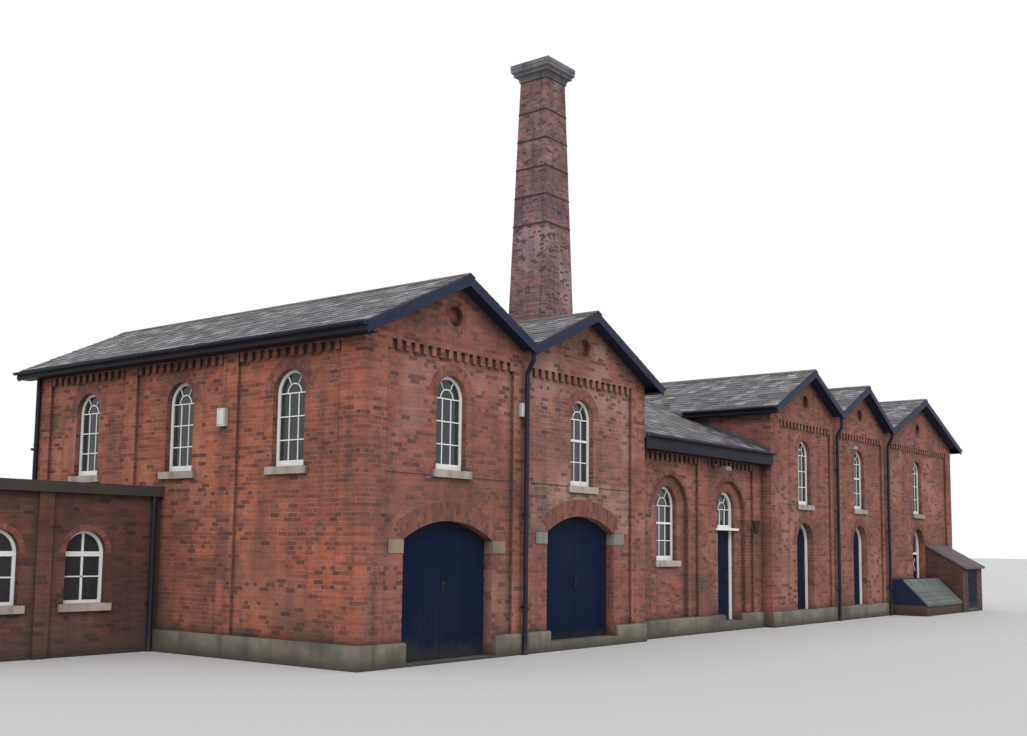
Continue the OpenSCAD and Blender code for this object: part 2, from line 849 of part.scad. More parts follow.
module upper_floors() {
  color("burlywood") for (k = [0:4])
    block(room_x0[k], room_x1[k], inner_y, range_depth - inner_y, upper_floor_z,
        upper_floor_z + upper_floor_t);
}

// One roof slope in section, from start past its foot up to the ridge
module slope(foot, top, start) {
  s = pitch(foot, top);
  d = sign(top[0] - foot[0]);
  x0 = foot[0] + d * start;
  x1 = top[0] - d * ridge_gap;
  z0 = foot[1] + s * start;
  z1 = top[1] - s * ridge_gap;
  polygon([[x0, z0], [x1, z1], [x1, z1 - roof_t], [x0, z0 - roof_t]]);
}

module roof(k) {
  top = [mid_x[k], ridge_z[k]];
  y = -verge_over + board_t;
  color(slate) along_y(y, range_depth - y) {
    slope(foot_left[k], top, start_left[k]);
    slope(foot_right[k], top, start_right[k]);
  }
}

module roof_1() { roof(0); }
module roof_2() { roof(1); }
module roof_3() { roof(2); }
module roof_4() { roof(3); }
module roof_5() { roof(4); }

// The room that a neighbouring gable's overhanging slates take up
module eave_room(foot, top) {
  out = beyond(foot, top, eave_over + seat);
  polygon([[foot[0], foot[1] + seat], [out[0], out[1] + seat],
      [out[0], out[1] - roof_t - seat], [foot[0], foot[1] - roof_t - seat]]);
}

// What the link's roof gives way to: the gables' slopes beside it and their eaves
module beside_link() {
  along_y(-verge_over - past, range_depth + verge_over + past) {
    under_line([west_line[3], west_line[4]], 0);
    under_line([east_line[0], east_line[1]], 0);
    eave_room(west_line[4], west_line[3]);
    eave_room(east_line[0], east_line[1]);
  }
}

module link_roof() {
  color(slate) difference() {
    along_x(mid_x[1], mid_x[2]) {
      slope(link_line[0], link_line[1], -link_over);
      slope(link_line[2], link_line[1], -link_over);
    }
    beside_link();
  }
}

// A ridge tile's section, laid on the slates on both sides of the ridge b
module ridge_cap(a, b, c) {
  h = ridge_half;
  za = b[1] - pitch(a, b) * h;
  zc = b[1] - pitch(c, b) * h;
  translate([0, seat]) polygon([b, [b[0] - h, za], [b[0] - h, za + ridge_t],
      [b[0], b[1] + ridge_t], [b[0] + h, zc + ridge_t], [b[0] + h, zc]]);
}

module ridge_tiles() {
  color("gray") {
    for (k = [0:4]) along_y(-verge_over, range_depth + verge_over)
      ridge_cap(foot_left[k], [mid_x[k], ridge_z[k]], foot_right[k]);
    difference() {
      along_x(mid_x[1] + 2 * ridge_half, mid_x[2] - 2 * ridge_half)
        ridge_cap(link_line[0], link_line[1], link_line[2]);
      beside_link();
    }
  }
}

// The lead gutter in the valley v between the slopes up to a and c
module valley(a, v, c) {
  h = valley_half;
  za = v[1] + pitch(v, a) * h - roof_t;
  zc = v[1] + pitch(v, c) * h - roof_t;
  z = v[1] - roof_t;
  y = -verge_over + board_t;
  along_y(y, range_depth - y)
    polygon([[v[0], z], [v[0] - h, za], [v[0] - h, za + valley_t], [v[0], z + valley_t],
        [v[0] + h, zc + valley_t], [v[0] + h, zc]]);
}

module valley_gutters() {
  color("lightslategray") {
    valley(west_line[1], west_line[2], west_line[3]);
    valley(east_line[1], east_line[2], east_line[3]);
    valley(east_line[3], east_line[4], east_line[5]);
  }
}

// A board that follows a roof line, from down below the slates to h lower
module follow(line, down, h) {
  polygon(concat([for (p = line) [p[0], p[1] - down]],
      [for (i = [len(line) - 1:-1:0]) [line[i][0], line[i][1] - down - h]]));
}

module barge_boards() {
  verges = [concat([eaves[0]], [for (i = [1:3]) west_line[i]], [eaves[1]]),
      concat([eaves[2]], [for (i = [1:5]) east_line[i]], [eaves[3]])];
  color(navy) front_and_rear() for (line = verges) {
    along_y(-verge_over, -verge_over + board_t) follow(line, board_drop, barge_h);
    along_y(-verge_over, 0) follow(line, roof_t + seat, soffit_t);
  }
}

// The fascia and soffit of a free eave at the edge e, whose wall's face is at x
module eave_boards(e, z, x, y0, y1) {
  d = sign(e[0] - x);
  block(min(e[0], e[0] + d * board_t), max(e[0], e[0] + d * board_t), y0, y1, z,
      e[1] - board_drop);
  block(min(e[0], x), max(e[0], x), y0 + board_t, y1, z, z + soffit_t);
}

module eaves_boards() {
  color(navy) front_and_rear() {
    for (i = [0, 3])
      eave_boards(eaves[i], fascia_z[i], i == 0 ? 0 : range_w, -verge_over, range_depth / 2);
    for (i = [1, 2])
      eave_boards(eaves[i], fascia_z[i], i == 1 ? link_x : east_x, -verge_over,
          link_top_y(fascia_z[i]) - 5);
    block(link_x, east_x, link_eave[0] - board_t, link_eave[0], link_fascia_z,
        link_eave[1] - board_drop);
    block(link_x, east_x, link_eave[0], link_setback, link_fascia_z, link_fascia_z + soffit_t);
  }
}

// A half-round gutter's section, with its back edge at x = 0 and open upwards
module gutter_section() {
  translate([-gutter_r, 0]) difference() {
    circle(r = gutter_r);
    circle(r = gutter_r - gutter_wall);
    translate([-2 * gutter_r, 0]) square([4 * gutter_r, 2 * gutter_r]);
  }
}

module eave_gutter(e, x, y0, y1) {
  d = sign(e[0] - x);
  along_y(y0, y1) translate([e[0] + d * board_t, e[1] - gutter_drop]) mirror([d > 0 ? 1 : 0, 0])
    gutter_section();
}

module gutters() {
  color(navy) {
    eave_gutter(eaves[0], 0, -verge_over, range_depth + verge_over);
    eave_gutter(eaves[3], range_w, -verge_over, range_depth + verge_over);
    front_and_rear() {
      for (i = [1, 2])
        eave_gutter(eaves[i], i == 1 ? link_x : east_x, -verge_over,
            link_top_y(fascia_z[i]) - 5);
      along_x(link_x + 5, east_x - 5)
        translate([link_eave[0] - board_t, link_eave[1] - gutter_drop]) gutter_section();
    }
  }
}

// A straight pipe upwards
module pipe(x, y, z0, z1, r) {
  translate([x, y, z0]) cylinder(r = r, h = z1 - z0);
}

// A pipe up a pier, with a swan neck out to the valley gutter's end over it
module valley_pipe(v) {
  y0 = -plinth_proj - downpipe_r - seat;
  y1 = -verge_over + board_t + downpipe_r + 10;
  z0 = dentil_top - dentil_h;
  z1 = z0 + 1.7 * (y0 - y1);
  pipe(v[0], y0, 0, z0, downpipe_r);
  translate([v[0], y0, z0]) {
    sphere(r = downpipe_r);
    rotate([atan2(y0 - y1, z1 - z0), 0, 0])
      cylinder(r = downpipe_r, h = sqrt(pow(y0 - y1, 2) + pow(z1 - z0, 2)));
  }
  translate([v[0], y1, z1]) sphere(r = downpipe_r);
  pipe(v[0], y1, z1, v[1] - roof_t - soffit_t - 2 * seat, downpipe_r);
}

module downpipes() {
  r = downpipe_r + seat;
  color(navy) {
    for (v = [west_line[2], east_line[2], east_line[4]]) valley_pipe(v);
    pipe(-r, range_depth - annex_wall_t / 2, annex_wall_z + coping_h, fascia_z[0] - seat,
        downpipe_r);
    pipe(-plinth_proj - downpipe_r - pipe_gap, annex_y - r, 0, annex_wall_z - seat, downpipe_r);
    pipe(link_x + link_pipe_dx, link_setback - plinth_proj - link_pipe_r - seat, 0,
        link_fascia_z - seat, link_pipe_r);
  }
}

// A course of dentils centred between two ends, under the level top
module dentils(x0, x1, top) {
  n = floor((x1 - x0 - dentil_w) / dentil_pitch);
  start = (x0 + x1 - n * dentil_pitch - dentil_w) / 2;
  for (i = [0:n]) translate([start + i * dentil_pitch, 0, top - dentil_h])
    cube([dentil_w, relief, dentil_h]);
}

module end_dentils() {
  for (y = side_panel_y) mirror([1, -1, 0]) dentils(y, y + side_panel_l, side_dentil_top);
}

module dentil_courses() {
  color("firebrick") {
    front_and_rear() {
      for (k = [0:4]) dentils(panel_x[k], panel_x[k] + panel_w[k], dentil_top);
      translate([0, link_setback, 0]) {
        dentils(link_x + link_pilaster_w, link_mid_x - link_pilaster_w / 2, link_dentil_top);
        dentils(link_mid_x + link_pilaster_w / 2, east_x - link_pilaster_w, link_dentil_top);
      }
    }
    end_dentils();
    to_east_end() end_dentils();
  }
}

module window_frames() {
  color(white) all_windows() window_frame($w, $z0, $z1);
}

// A pane behind a door frame, over its transom
module fanlight(w, z0, z1) {
  y = door_reveal + door_frame_t;
  block(-w / 2 - rebate + seat, w / 2 + rebate - seat, y, y + glass_t, z0, z1);
}

module window_glass() {
  color("lightsteelblue", 0.5) {
    all_windows() window_pane($w, $z0, $z1);
    translate([mid_x[4], relief, 0])
      fanlight(arch_door_w, transom_z - 30, crown_z[4] + head_over);
    translate([recess_x[1], link_y, 0])
      fanlight(link_open_w, ledge_z - 30, link_crown_z + head_over);
  }
}

module stone_sills() {
  color(stone) all_windows() window_sill($w, $z0);
}

module springer_stones() {
  color(stone) for (k = [0:1]) springers(k);
}

// A run of plinth in front of the pilasters' faces, with a weathered top
module plinth(x0, x1) {
  along_x(x0, x1) polygon([[-plinth_proj, 0], [-plinth_proj, plinth_h - 50],
      [-plinth_proj + 15, plinth_h - 15], [0, plinth_h], [0, 0]]);
}

module plinth_stones() {
  color(stone) {
    plinth(corner_w, door_l(0));
    plinth(door_r(0), door_l(1));
    plinth(door_r(1), link_x);
    plinth(east_x, door_l(2));
    plinth(door_r(2), door_l(3));
    plinth(door_r(3), panel_x[4]);
    plinth(range_w - corner_w, range_w);
    translate([0, link_setback, 0]) {
      plinth(link_x, recess_x[1] - link_open_w / 2);
      plinth(recess_x[1] + link_open_w / 2, east_x);
    }
  }
}

module door_sills() {
  front = -relief - plinth_proj;
  color(stone) {
    for (k = [0:4]) translate([mid_x[k], relief, 0])
      block(-door_w[k] / 2, door_w[k] / 2, k < 4 ? front : 0, wall_t, 0, door_z[k]);
    translate([recess_x[1], link_y, 0])
      block(-link_open_w / 2, link_open_w / 2, front, wall_t, 0, link_floor_z);
    block(store_door_x, store_door_x + store_door_w, -store_depth,
        -store_depth + store_wall_t, 0, store_floor_z);
  }
}

// A door frame that fills the front of the rebate, with a round-headed opening
module door_frame(w, z0, crown, bar_z0, bar_z1) {
  along_y(door_reveal, door_reveal + door_frame_t) {
    difference() {
      translate([-w / 2 - rebate + seat, z0])
        square([w + 2 * (rebate - seat), crown + head_over - z0]);
      round_head(w - 2 * door_frame_w, z0 - past, crown - door_frame_w);
    }
    if (bar_z1 > bar_z0) translate([-w / 2, bar_z0]) square([w, bar_z1 - bar_z0]);
  }
}

module door_frames() {
  color(white) {
    for (k = [2:3]) translate([mid_x[k], relief, 0])
      door_frame(arch_door_w, floor_east_z, crown_z[k], 0, 0);
    translate([mid_x[4], relief, 0])
      door_frame(arch_door_w, floor_east_z, crown_z[4], transom_z - door_frame_w, transom_z);
    translate([recess_x[1], link_y, 0]) {
      door_frame(link_open_w, link_floor_z, link_crown_z, ledge_z - ledge_h, ledge_z + 30);
      block(-ledge_l / 2, ledge_l / 2, recess_depth - ledge_proj, door_reveal,
          ledge_z - ledge_h, ledge_z);
    }
  }
}

// Levels of the feet of the two hinge eyes of a leaf that stands over the floor z0
function eye_z(z0, z1) = [z0 + 300, z1 - 360];

// A boarded leaf from its hinge edge at x = 0, with two strap hinges on its inner face
module leaf(l, z0, z1) {
  difference() {
    union() {
      block(0, l, 0, leaf_t, z0 + leaf_gap, z1);
      for (z = eye_z(z0, z1)) {
        block(axis_dx - 10, l * 0.85, leaf_t, leaf_t + strap_t, z, z + strap_h);
        translate([axis_dx, leaf_t + axis_dy, z]) cylinder(r = eye_r, h = strap_h);
      }
    }
    for (z = eye_z(z0, z1)) translate([axis_dx, leaf_t + axis_dy, z - 1])
      cylinder(r = pin_r + pin_fit, h = strap_h + 2);
  }
}

// The two pins that carry a leaf, each on an arm from the jamb beside it
module pins(z0, z1) {
  for (z = eye_z(z0, z1)) translate([axis_dx, leaf_t + axis_dy, z]) {
    block(-axis_dx - leaf_gap, pin_r, -pin_r, pin_r, -18, -2);
    translate([0, 0, -18]) cylinder(r = pin_r, h = strap_h + 22);
  }
}

// Puts a leaf or its pins at the left jamb of a rebate w wide in front, or at the right one
module at_left_jamb(x, w, y) {
  translate([x - w / 2 - rebate + leaf_gap, y, 0]) children();
}

module at_right_jamb(x, w, y) {
  translate([x + w / 2 + rebate - leaf_gap, y, 0]) mirror([1, 0, 0]) children();
}

module cart_door_left(k) {
  color(navy) at_left_jamb(mid_x[k], cart_w, relief + leaf_y) leaf(pair_l, door_z[k], heads[k]);
}

module cart_door_right(k) {
  color(navy) at_right_jamb(mid_x[k], cart_w, relief + leaf_y) leaf(pair_l, door_z[k], heads[k]);
}

module cart_door_1_left() { cart_door_left(0); }
module cart_door_1_right() { cart_door_right(0); }
module cart_door_2_left() { cart_door_left(1); }
module cart_door_2_right() { cart_door_right(1); }

module gable_door(k, head) {
  color(navy) at_left_jamb(mid_x[k], arch_door_w, relief + framed_leaf_y)
    leaf(arch_l, door_z[k], head);
}

module gable_3_door() { gable_door(2, heads[2]); }
module gable_4_door() { gable_door(3, heads[3]); }
module gable_5_door() { gable_door(4, gable_5_head); }

module link_door() {
  color(navy) at_left_jamb(recess_x[1], link_open_w, link_y + framed_leaf_y)
    leaf(link_l, link_floor_z, link_head);
}

// Turns a leaf or its pins to the store's front, where the door opens outwards
module at_store_door() {
  translate([store_door_x + leaf_gap, -store_depth + leaf_t, 0]) mirror([0, 1, 0]) children();
}

module store_door() {
  color(navy) at_store_door()
    leaf(store_door_w - 2 * leaf_gap, store_floor_z, store_door_top - leaf_gap);
}

// The store door's pins, on plates on the front of its wall
module store_pins() {
  z1 = store_door_top - leaf_gap;
  at_store_door() {
    pins(store_floor_z, z1);
    for (z = eye_z(store_floor_z, z1))
      block(-leaf_gap - 50, -leaf_gap, leaf_t, leaf_t + axis_dy + pin_r, z - 18, z - 2);
  }
}

module hinge_pins() {
  color("dimgray") {
    for (k = [0:1]) {
      at_left_jamb(mid_x[k], cart_w, relief + leaf_y) pins(door_z[k], heads[k]);
      at_right_jamb(mid_x[k], cart_w, relief + leaf_y) pins(door_z[k], heads[k]);
    }
    for (k = [2:4]) at_left_jamb(mid_x[k], arch_door_w, relief + framed_leaf_y)
      pins(door_z[k], k < 4 ? heads[k] : gable_5_head);
    at_left_jamb(recess_x[1], link_open_w, link_y + framed_leaf_y) pins(link_floor_z, link_head);
    store_pins();
    for (i = [0:1], x = lid_hinges(i)) lid_pin(x);
  }
}

// A tapering square shaft between two heights, w0 and w1 wide at its ends
module taper(w0, w1, z0, z1) {
  translate([0, 0, z0]) linear_extrude(z1 - z0, scale = w1 / w0) square(w0, center = true);
}

// Widths of the shaft and of its flue at a height
function shaft_w(z) = chimney_base_w + (chimney_top_w - chimney_base_w) * z / shaft_h;
function flue_w(z) = flue_base_w + (flue_top_w - flue_base_w) * z / shaft_h;

module chimney_shaft() {
  foot = chimney_foot_w;
  color(brick) translate([chimney_x, chimney_y, 0]) difference() {
    union() {
      taper(chimney_base_w, chimney_top_w, 0, shaft_h);
      translate([-foot / 2, -foot / 2, 0]) cube([foot, foot, chimney_foot_h]);
    }
    taper(flue_w(-past), flue_w(shaft_h + past), -past, shaft_h + past);
  }
}

// The cap's moulding in section: necking, cove, fillet, corona and slab
module cap_section() {
  w = chimney_top_w / 2 + cap_neck_proj;
  wide = w + cap_cove;
  slab = corona_half + cap_slab_over;
  z = [cap_neck_h, cap_neck_h + cap_cove, cap_top - corona_h - cap_splay_h, cap_top - corona_h];
  translate([-w, 0]) square([2 * w, z[0]]);
  difference() {
    translate([-wide, z[0]]) square([2 * wide, cap_cove]);
    for (s = [-1, 1]) translate([s * wide, z[0]]) circle(r = cap_cove - 10);
  }
  polygon([[-wide, z[1]], [wide, z[1]], [wide, z[2]], [corona_half, z[3]],
      [corona_half, cap_top], [-corona_half, cap_top], [-corona_half, z[3]], [-wide, z[2]]]);
  translate([-slab, cap_top]) square([2 * slab, cap_slab_h]);
}

module chimney_cap() {
  r = corona_half + cap_slab_over + past;
  hole = flue_top_w;
  color(stone) translate([chimney_x, chimney_y, shaft_h]) difference() {
    intersection() {
      along_y(-r, r) cap_section();
      along_x(-r, r) cap_section();
    }
    block(-hole / 2, hole / 2, -hole / 2, hole / 2, -past, cap_top + cap_slab_h + past);
  }
}

module chimney_bands() {
  color("dimgray") translate([chimney_x, chimney_y, 0]) for (i = [0:4]) {
    z0 = shaft_h - band_drop - i * band_pitch;
    z1 = z0 + band_h;
    difference() {
      taper(shaft_w(z0) + 2 * band_t, shaft_w(z1) + 2 * band_t, z0, z1);
      taper(shaft_w(z0 - 5) + 2 * seat, shaft_w(z1 + 5) + 2 * seat, z0 - 5, z1 + 5);
    }
  }
}

module annex_walls() {
  y1 = range_depth;
  t = annex_wall_t;
  color(brick) difference() {
    union() {
      block(-annex_l, relief, annex_y, annex_y + t, 0, annex_wall_z);
      block(-annex_l, 0, y1 - t, y1, 0, annex_wall_z);
      block(-annex_l, -annex_l + t, annex_y, y1, 0, annex_wall_z);
      for (x = [-annex_l, -annex_pier_dx - annex_pier_w / 2])
        block(x, x + annex_pier_w, annex_y - relief, annex_y + 1, 0, annex_wall_z);
    }
    annex_windows() window_cut($w, $z0, $z1);
  }
}

module annex_coping() {
  p = coping_proj;
  t = annex_wall_t;
  z0 = annex_wall_z;
  z1 = annex_wall_z + coping_h;
  color(stone) {
    block(-annex_l - p, relief, annex_y - relief - p, annex_y + t, z0, z1);
    block(-annex_l - p, 0, range_depth - t, range_depth + p, z0, z1);
    block(-annex_l - p, -annex_l + t, annex_y, range_depth, z0, z1);
  }
}

module annex_roof() {
  t = annex_wall_t;
  color("dimgray") difference() {
    block(-annex_l + t, relief, annex_y + t, range_depth - t, annex_roof_z - annex_roof_t,
        annex_roof_z);
    end_wall();
  }
}

// What lies under the store's roof
module under_store_roof() {
  y0 = -store_depth;
  y1 = relief;
  along_x(store_x, store_x + store_w)
    polygon([[y0, 0], [y0, store_top(y0) - store_roof_t], [y1, store_top(y1) - store_roof_t],
        [y1, 0]]);
}

module store_walls() {
  x1 = store_x + store_w;
  t = store_wall_t;
  color(brick) difference() {
    under_store_roof();
    block(store_x + t, x1 - t, -store_depth + t, relief + past, -past, high);
    block(store_door_x, store_door_x + store_door_w, -store_depth - past, 0, -past, high);
  }
}

// The store's roof, with the wall plate over its doorway
module store_roof() {
  y0 = -store_depth - store_over;
  y1 = relief;
  x0 = store_x - store_side_over;
  x1 = store_x + store_w + store_side_over;
  color("slategray") {
    along_x(x0, x1) polygon([[y0, store_top(y0)], [y1, store_top(y1)],
        [y1, store_top(y1) - store_roof_t], [y0, store_top(y0) - store_roof_t]]);
    intersection() {
      block(store_door_x, store_door_x + store_door_w, -store_depth,
          -store_depth + store_wall_t, store_door_top, high);
      under_store_roof();
    }
  }
}

module hatch_base() {
  x1 = hatch_x + hatch_w;
  t = hatch_wall_t;
  color(brick) difference() {
    block(hatch_x, x1, -hatch_depth, relief, 0, hatch_base_h);
    block(hatch_x + t, x1 - t, -hatch_depth + t, relief + past, -past, hatch_base_h + past);
  }
}

// A bearer under the lids' edges
module bearer(x0, x1) {
  top = hatch_top_z - lid_t;
  f = -hatch_flat;
  i = -hatch_depth + hatch_wall_t;
  along_x(x0, x1) polygon([[f + 40, top], [f, top], [f, bed(f)], [i, bed(i)],
      [i, bed(i) - 80], [f + 40, top - 80]]);
}

// The hatch's timber: two cheeks, a front rail, two bearers and the flat board
module hatch_frame() {
  x1 = hatch_x + hatch_w;
  z = hatch_base_h;
  top = hatch_top_z - lid_t;
  f = -hatch_flat;
  d = -hatch_depth;
  i = d + hatch_wall_t;
  mid = (hatch_x + lids_x1) / 2;
  color(navy) {
    along_x(hatch_x, hatch_x + cheek_t)
      polygon([[relief, z], [relief, top], [f, top], [f, bed(f)], [d, bed(d)], [d, z]]);
    along_x(x1 - cheek_t, x1)
      polygon([[relief, z], [relief, top], [f, top], [f, lid_top(f) - 5],
          [d, lid_top(d) - 5], [d, z]]);
    along_x(hatch_x, x1 - cheek_t)
      polygon([[d, z], [d, bed(d)], [i, bed(i)], [i, z]]);
    bearer(mid - 40, mid + 40);
    bearer(lids_x1 - 40, x1 - cheek_t);
    block(hatch_x, x1, f, relief, top, hatch_top_z);
  }
}

module lid(i) {
  y1 = lid_axis_y;
  y0 = -hatch_depth - 35;
  y2 = y1 - 260;
  color([0.42, 0.47, 0.45]) difference() {
    union() {
      along_x(lid_x(i), lid_x(i) + lids_l)
        polygon([[y1, lid_top(y1)], [y0, lid_top(y0)], [y0, lid_under(y0)],
            [y1, lid_under(y1)]]);
      for (x = lid_hinges(i)) along_x(x - strap_h / 2, x + strap_h / 2) {
        polygon([[y1, lid_top(y1) - 3], [y2, lid_top(y2) - 3], [y2, lid_top(y2) + 10],
            [y1, lid_axis_z]]);
        translate([y1, lid_axis_z]) circle(r = lid_eye_r);
      }
    }
    for (x = lid_hinges(i)) along_x(x - strap_h, x + strap_h)
      translate([y1, lid_axis_z]) circle(r = lid_pin_r + pin_fit);
  }
}

module hatch_lid_left() { lid(0); }
module hatch_lid_right() { lid(1); }

// A lid's hinge pin, between two ears on the flat board
module lid_pin(x) {
  y = lid_axis_y;
  z = lid_axis_z;
  r = lid_eye_r - 2;
  h = strap_h / 2;
  along_x(x - h - 20, x + h + 20) translate([y, z]) circle(r = lid_pin_r);
  for (x0 = [x - h - 20, x + h + 2]) along_x(x0, x0 + 18) {
    translate([y, z]) circle(r = r);
    translate([-hatch_flat, hatch_top_z]) square([35, z + r - hatch_top_z]);
    translate([y, z]) square([20, r]);
  }
}

west_end_wall();
front_wall_1();
front_wall_2();
front_wall_3();
front_wall_4();
front_wall_5();
link_front_wall();
front_piers();
cross_walls();
east_end_wall();
rear_walls();
ground_floors();
upper_floors();
roof_1();
roof_2();
roof_3();
roof_4();
roof_5();
link_roof();
ridge_tiles();
valley_gutters();
barge_boards();
eaves_boards();
gutters();
downpipes();
dentil_courses();
window_frames();
window_glass();
stone_sills();
springer_stones();
plinth_stones();
door_sills();
door_frames();
hinge_pins();
cart_door_1_left();
cart_door_1_right();
cart_door_2_left();
cart_door_2_right();
link_door();
gable_3_door();
gable_4_door();
gable_5_door();
store_door();
chimney_shaft();
chimney_cap();
chimney_bands();
annex_walls();
annex_coping();
annex_roof();
store_walls();
store_roof();
hatch_base();
hatch_frame();
hatch_lid_left();
hatch_lid_right();
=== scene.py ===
"""A brick pumping station: its brickwork, stone, slates, glazing bars, paint and weather.

Metres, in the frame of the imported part: +X along the front, +Y back into the range, +Z up.
"""

import math
import random

import bpy
from mathutils import Matrix, Vector


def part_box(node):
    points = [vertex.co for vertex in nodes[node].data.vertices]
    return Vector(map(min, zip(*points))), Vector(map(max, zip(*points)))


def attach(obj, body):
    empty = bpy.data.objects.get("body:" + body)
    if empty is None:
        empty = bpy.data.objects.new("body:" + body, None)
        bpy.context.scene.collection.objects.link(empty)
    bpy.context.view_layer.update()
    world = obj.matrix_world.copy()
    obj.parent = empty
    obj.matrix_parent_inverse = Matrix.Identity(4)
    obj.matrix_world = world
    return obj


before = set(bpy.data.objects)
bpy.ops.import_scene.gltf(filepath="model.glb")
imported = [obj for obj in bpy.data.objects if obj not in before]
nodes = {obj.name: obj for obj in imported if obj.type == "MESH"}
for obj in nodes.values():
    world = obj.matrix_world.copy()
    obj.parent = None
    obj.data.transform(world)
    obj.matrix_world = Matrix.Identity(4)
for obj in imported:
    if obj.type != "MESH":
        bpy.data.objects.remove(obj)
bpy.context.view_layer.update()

# On every surface: rain and smoke leave grime in patches, dark runs that follow the water down and
# damp that climbs from the ground, and painted shade from ambient occlusion, with smoke grime, darkens the
# angles.
grime_tone = (0.040, 0.034, 0.032, 1)
run_tone = (0.035, 0.031, 0.030, 1)
damp_tone = (0.050, 0.050, 0.034, 1)
grain_tone = (0.030, 0.028, 0.026, 1)
# Painted shade in the angles, with the smoke grime there: its tone, how far the occlusion looks, and its
# usual amount.
soot_and_shade_tone = (0.022, 0.018, 0.018, 1)
soot_and_shade_reach = 0.22
usual_soot_and_shade = 0.75


def shader_group(name, inputs, outputs):
    """A node group with named sockets, its input node and its output node."""
    tree = bpy.data.node_groups.new(name, "ShaderNodeTree")
    for label, value in inputs.items():
        kind = "NodeSocketColor" if isinstance(value, tuple) else "NodeSocketFloat"
        tree.interface.new_socket(label, in_out="INPUT", socket_type=kind).default_value = value
    for label, kind in outputs.items():
        tree.interface.new_socket(label, in_out="OUTPUT", socket_type=kind)
    return tree, tree.nodes.new("NodeGroupInput").outputs, tree.nodes.new("NodeGroupOutput").inputs


def feed(tree, value, socket):
    """Links a socket to another node's output, or sets it to a constant."""
    if isinstance(value, bpy.types.NodeSocket):
        tree.links.new(value, socket)
    else:
        socket.default_value = value


def sums(tree, operation, *values):
    """The result of a math node."""
    node = tree.nodes.new("ShaderNodeMath")
    node.operation = operation
    for value, socket in zip(values, node.inputs):
        feed(tree, value, socket)
    return node.outputs[0]


def tint(tree, amount, below, above):
    """One colour laid over another by an amount."""
    node = tree.nodes.new("ShaderNodeMix")
    node.data_type = "RGBA"
    for value, socket in ((amount, node.inputs[0]), (below, node.inputs[6]), (above, node.inputs[7])):
        feed(tree, value, socket)
    return node.outputs[2]


def ranged(tree, value, low, high, to_low=0.0, to_high=1.0):
    """A value's range from low to high, stretched to another range and held inside it."""
    node = tree.nodes.new("ShaderNodeMapRange")
    for v, socket in zip((value, low, high, to_low, to_high), node.inputs):
        feed(tree, v, socket)
    return node.outputs[0]


def axes(tree, coordinate="Object"):
    """The x, y and z of a point of the surface, or of its normal."""
    split = tree.nodes.new("ShaderNodeSeparateXYZ")
    tree.links.new(tree.nodes.new("ShaderNodeTexCoord").outputs[coordinate], split.inputs[0])
    return split.outputs


def speckle(tree, vector, scale, detail=4.0, stretch=(1, 1, 1)):
    """A noise between 0 and 1, stretched along the axes."""
    mapping = tree.nodes.new("ShaderNodeMapping")
    mapping.inputs["Scale"].default_value = stretch
    tree.links.new(vector, mapping.inputs["Vector"])
    node = tree.nodes.new("ShaderNodeTexNoise")
    node.inputs["Scale"].default_value = scale
    node.inputs["Detail"].default_value = detail
    tree.links.new(mapping.outputs[0], node.inputs["Vector"])
    return node.outputs[0]


weather, worn_in, worn_out = shader_group(
    "Weather and painted shade",
    {"Colour": (0.5, 0.5, 0.5, 1.0), "Grime": 0.3, "Runs": 0.3, "Damp top": 0.7, "Soot": usual_soot_and_shade},
    {"Colour": "NodeSocketColor", "Height": "NodeSocketFloat"},
)
place = weather.nodes.new("ShaderNodeTexCoord").outputs["Object"]
patches = ranged(weather, speckle(weather, place, 0.9, 6), 0.42, 0.72)
runs = ranged(weather, speckle(weather, place, 1.0, 5, (4.5, 4.5, 0.22)), 0.5, 0.72)
grain = speckle(weather, place, 45.0, 3)
damp_edge = sums(weather, "MULTIPLY", worn_in["Damp top"],
                 ranged(weather, speckle(weather, place, 2.2, 5), 0.25, 0.75, 0.4, 1.5))
# Painted shade: ambient occlusion darkens corners, creases and the undersides of ledges, where shade falls
# and smoke grime gathers.
angles = weather.nodes.new("ShaderNodeAmbientOcclusion")
angles.samples = 4
angles.inputs["Distance"].default_value = soot_and_shade_reach
soot_and_shade_mask = ranged(weather, angles.outputs["AO"], 0.40, 0.95, 1.0, 0.0)
tone = worn_in["Colour"]
for amount, wear in (
        (sums(weather, "MULTIPLY", patches, worn_in["Grime"]), grime_tone),
        (sums(weather, "MULTIPLY", runs, worn_in["Runs"]), run_tone),
        (ranged(weather, axes(weather)[2], 0.0, damp_edge, 0.8, 0.0), damp_tone),
        (ranged(weather, grain, 0.3, 0.7, 0.0, 0.18), grain_tone),
        (sums(weather, "MULTIPLY", soot_and_shade_mask, worn_in["Soot"]), soot_and_shade_tone)):
    tone = tint(weather, amount, tone, wear)
weather.links.new(tone, worn_out["Colour"])
weather.links.new(grain, worn_out["Height"])

# Brick walls: handmade brick in lime mortar, three courses of stretchers to one of headers, each
# brick with its own tone. The faces turned to the front are a darker red than the ends, and the
# annex nearly brown. Old repairs show paler, and along the sills the mortar is lost from one joint.
course = 0.083
stretcher = 0.235
mortar_joint = 0.010
square_on = 0.7
shake_by = 0.012
burnt_tone = (0.028, 0.022, 0.026, 1)
brickwork, brick_in, brick_out = shader_group(
    "Brickwork",
    {"Red": (0.3, 0.1, 0.07, 1.0), "Dark": (0.1, 0.05, 0.05, 1.0), "Pale": (0.35, 0.2, 0.16, 1.0),
     "Mortar": (0.3, 0.26, 0.22, 1.0), "Repairs": 0.5, "Burnt": 0.3},
    {"Colour": "NodeSocketColor", "Height": "NodeSocketFloat"},
)
where = brickwork.nodes.new("ShaderNodeTexCoord").outputs["Object"]
spot = axes(brickwork)
facing = axes(brickwork, "Normal")
end_face = sums(brickwork, "GREATER_THAN", sums(brickwork, "ABSOLUTE", facing[0]), square_on)
top_face = sums(brickwork, "GREATER_THAN", sums(brickwork, "ABSOLUTE", facing[2]), square_on)
laid = brickwork.nodes.new("ShaderNodeCombineXYZ")
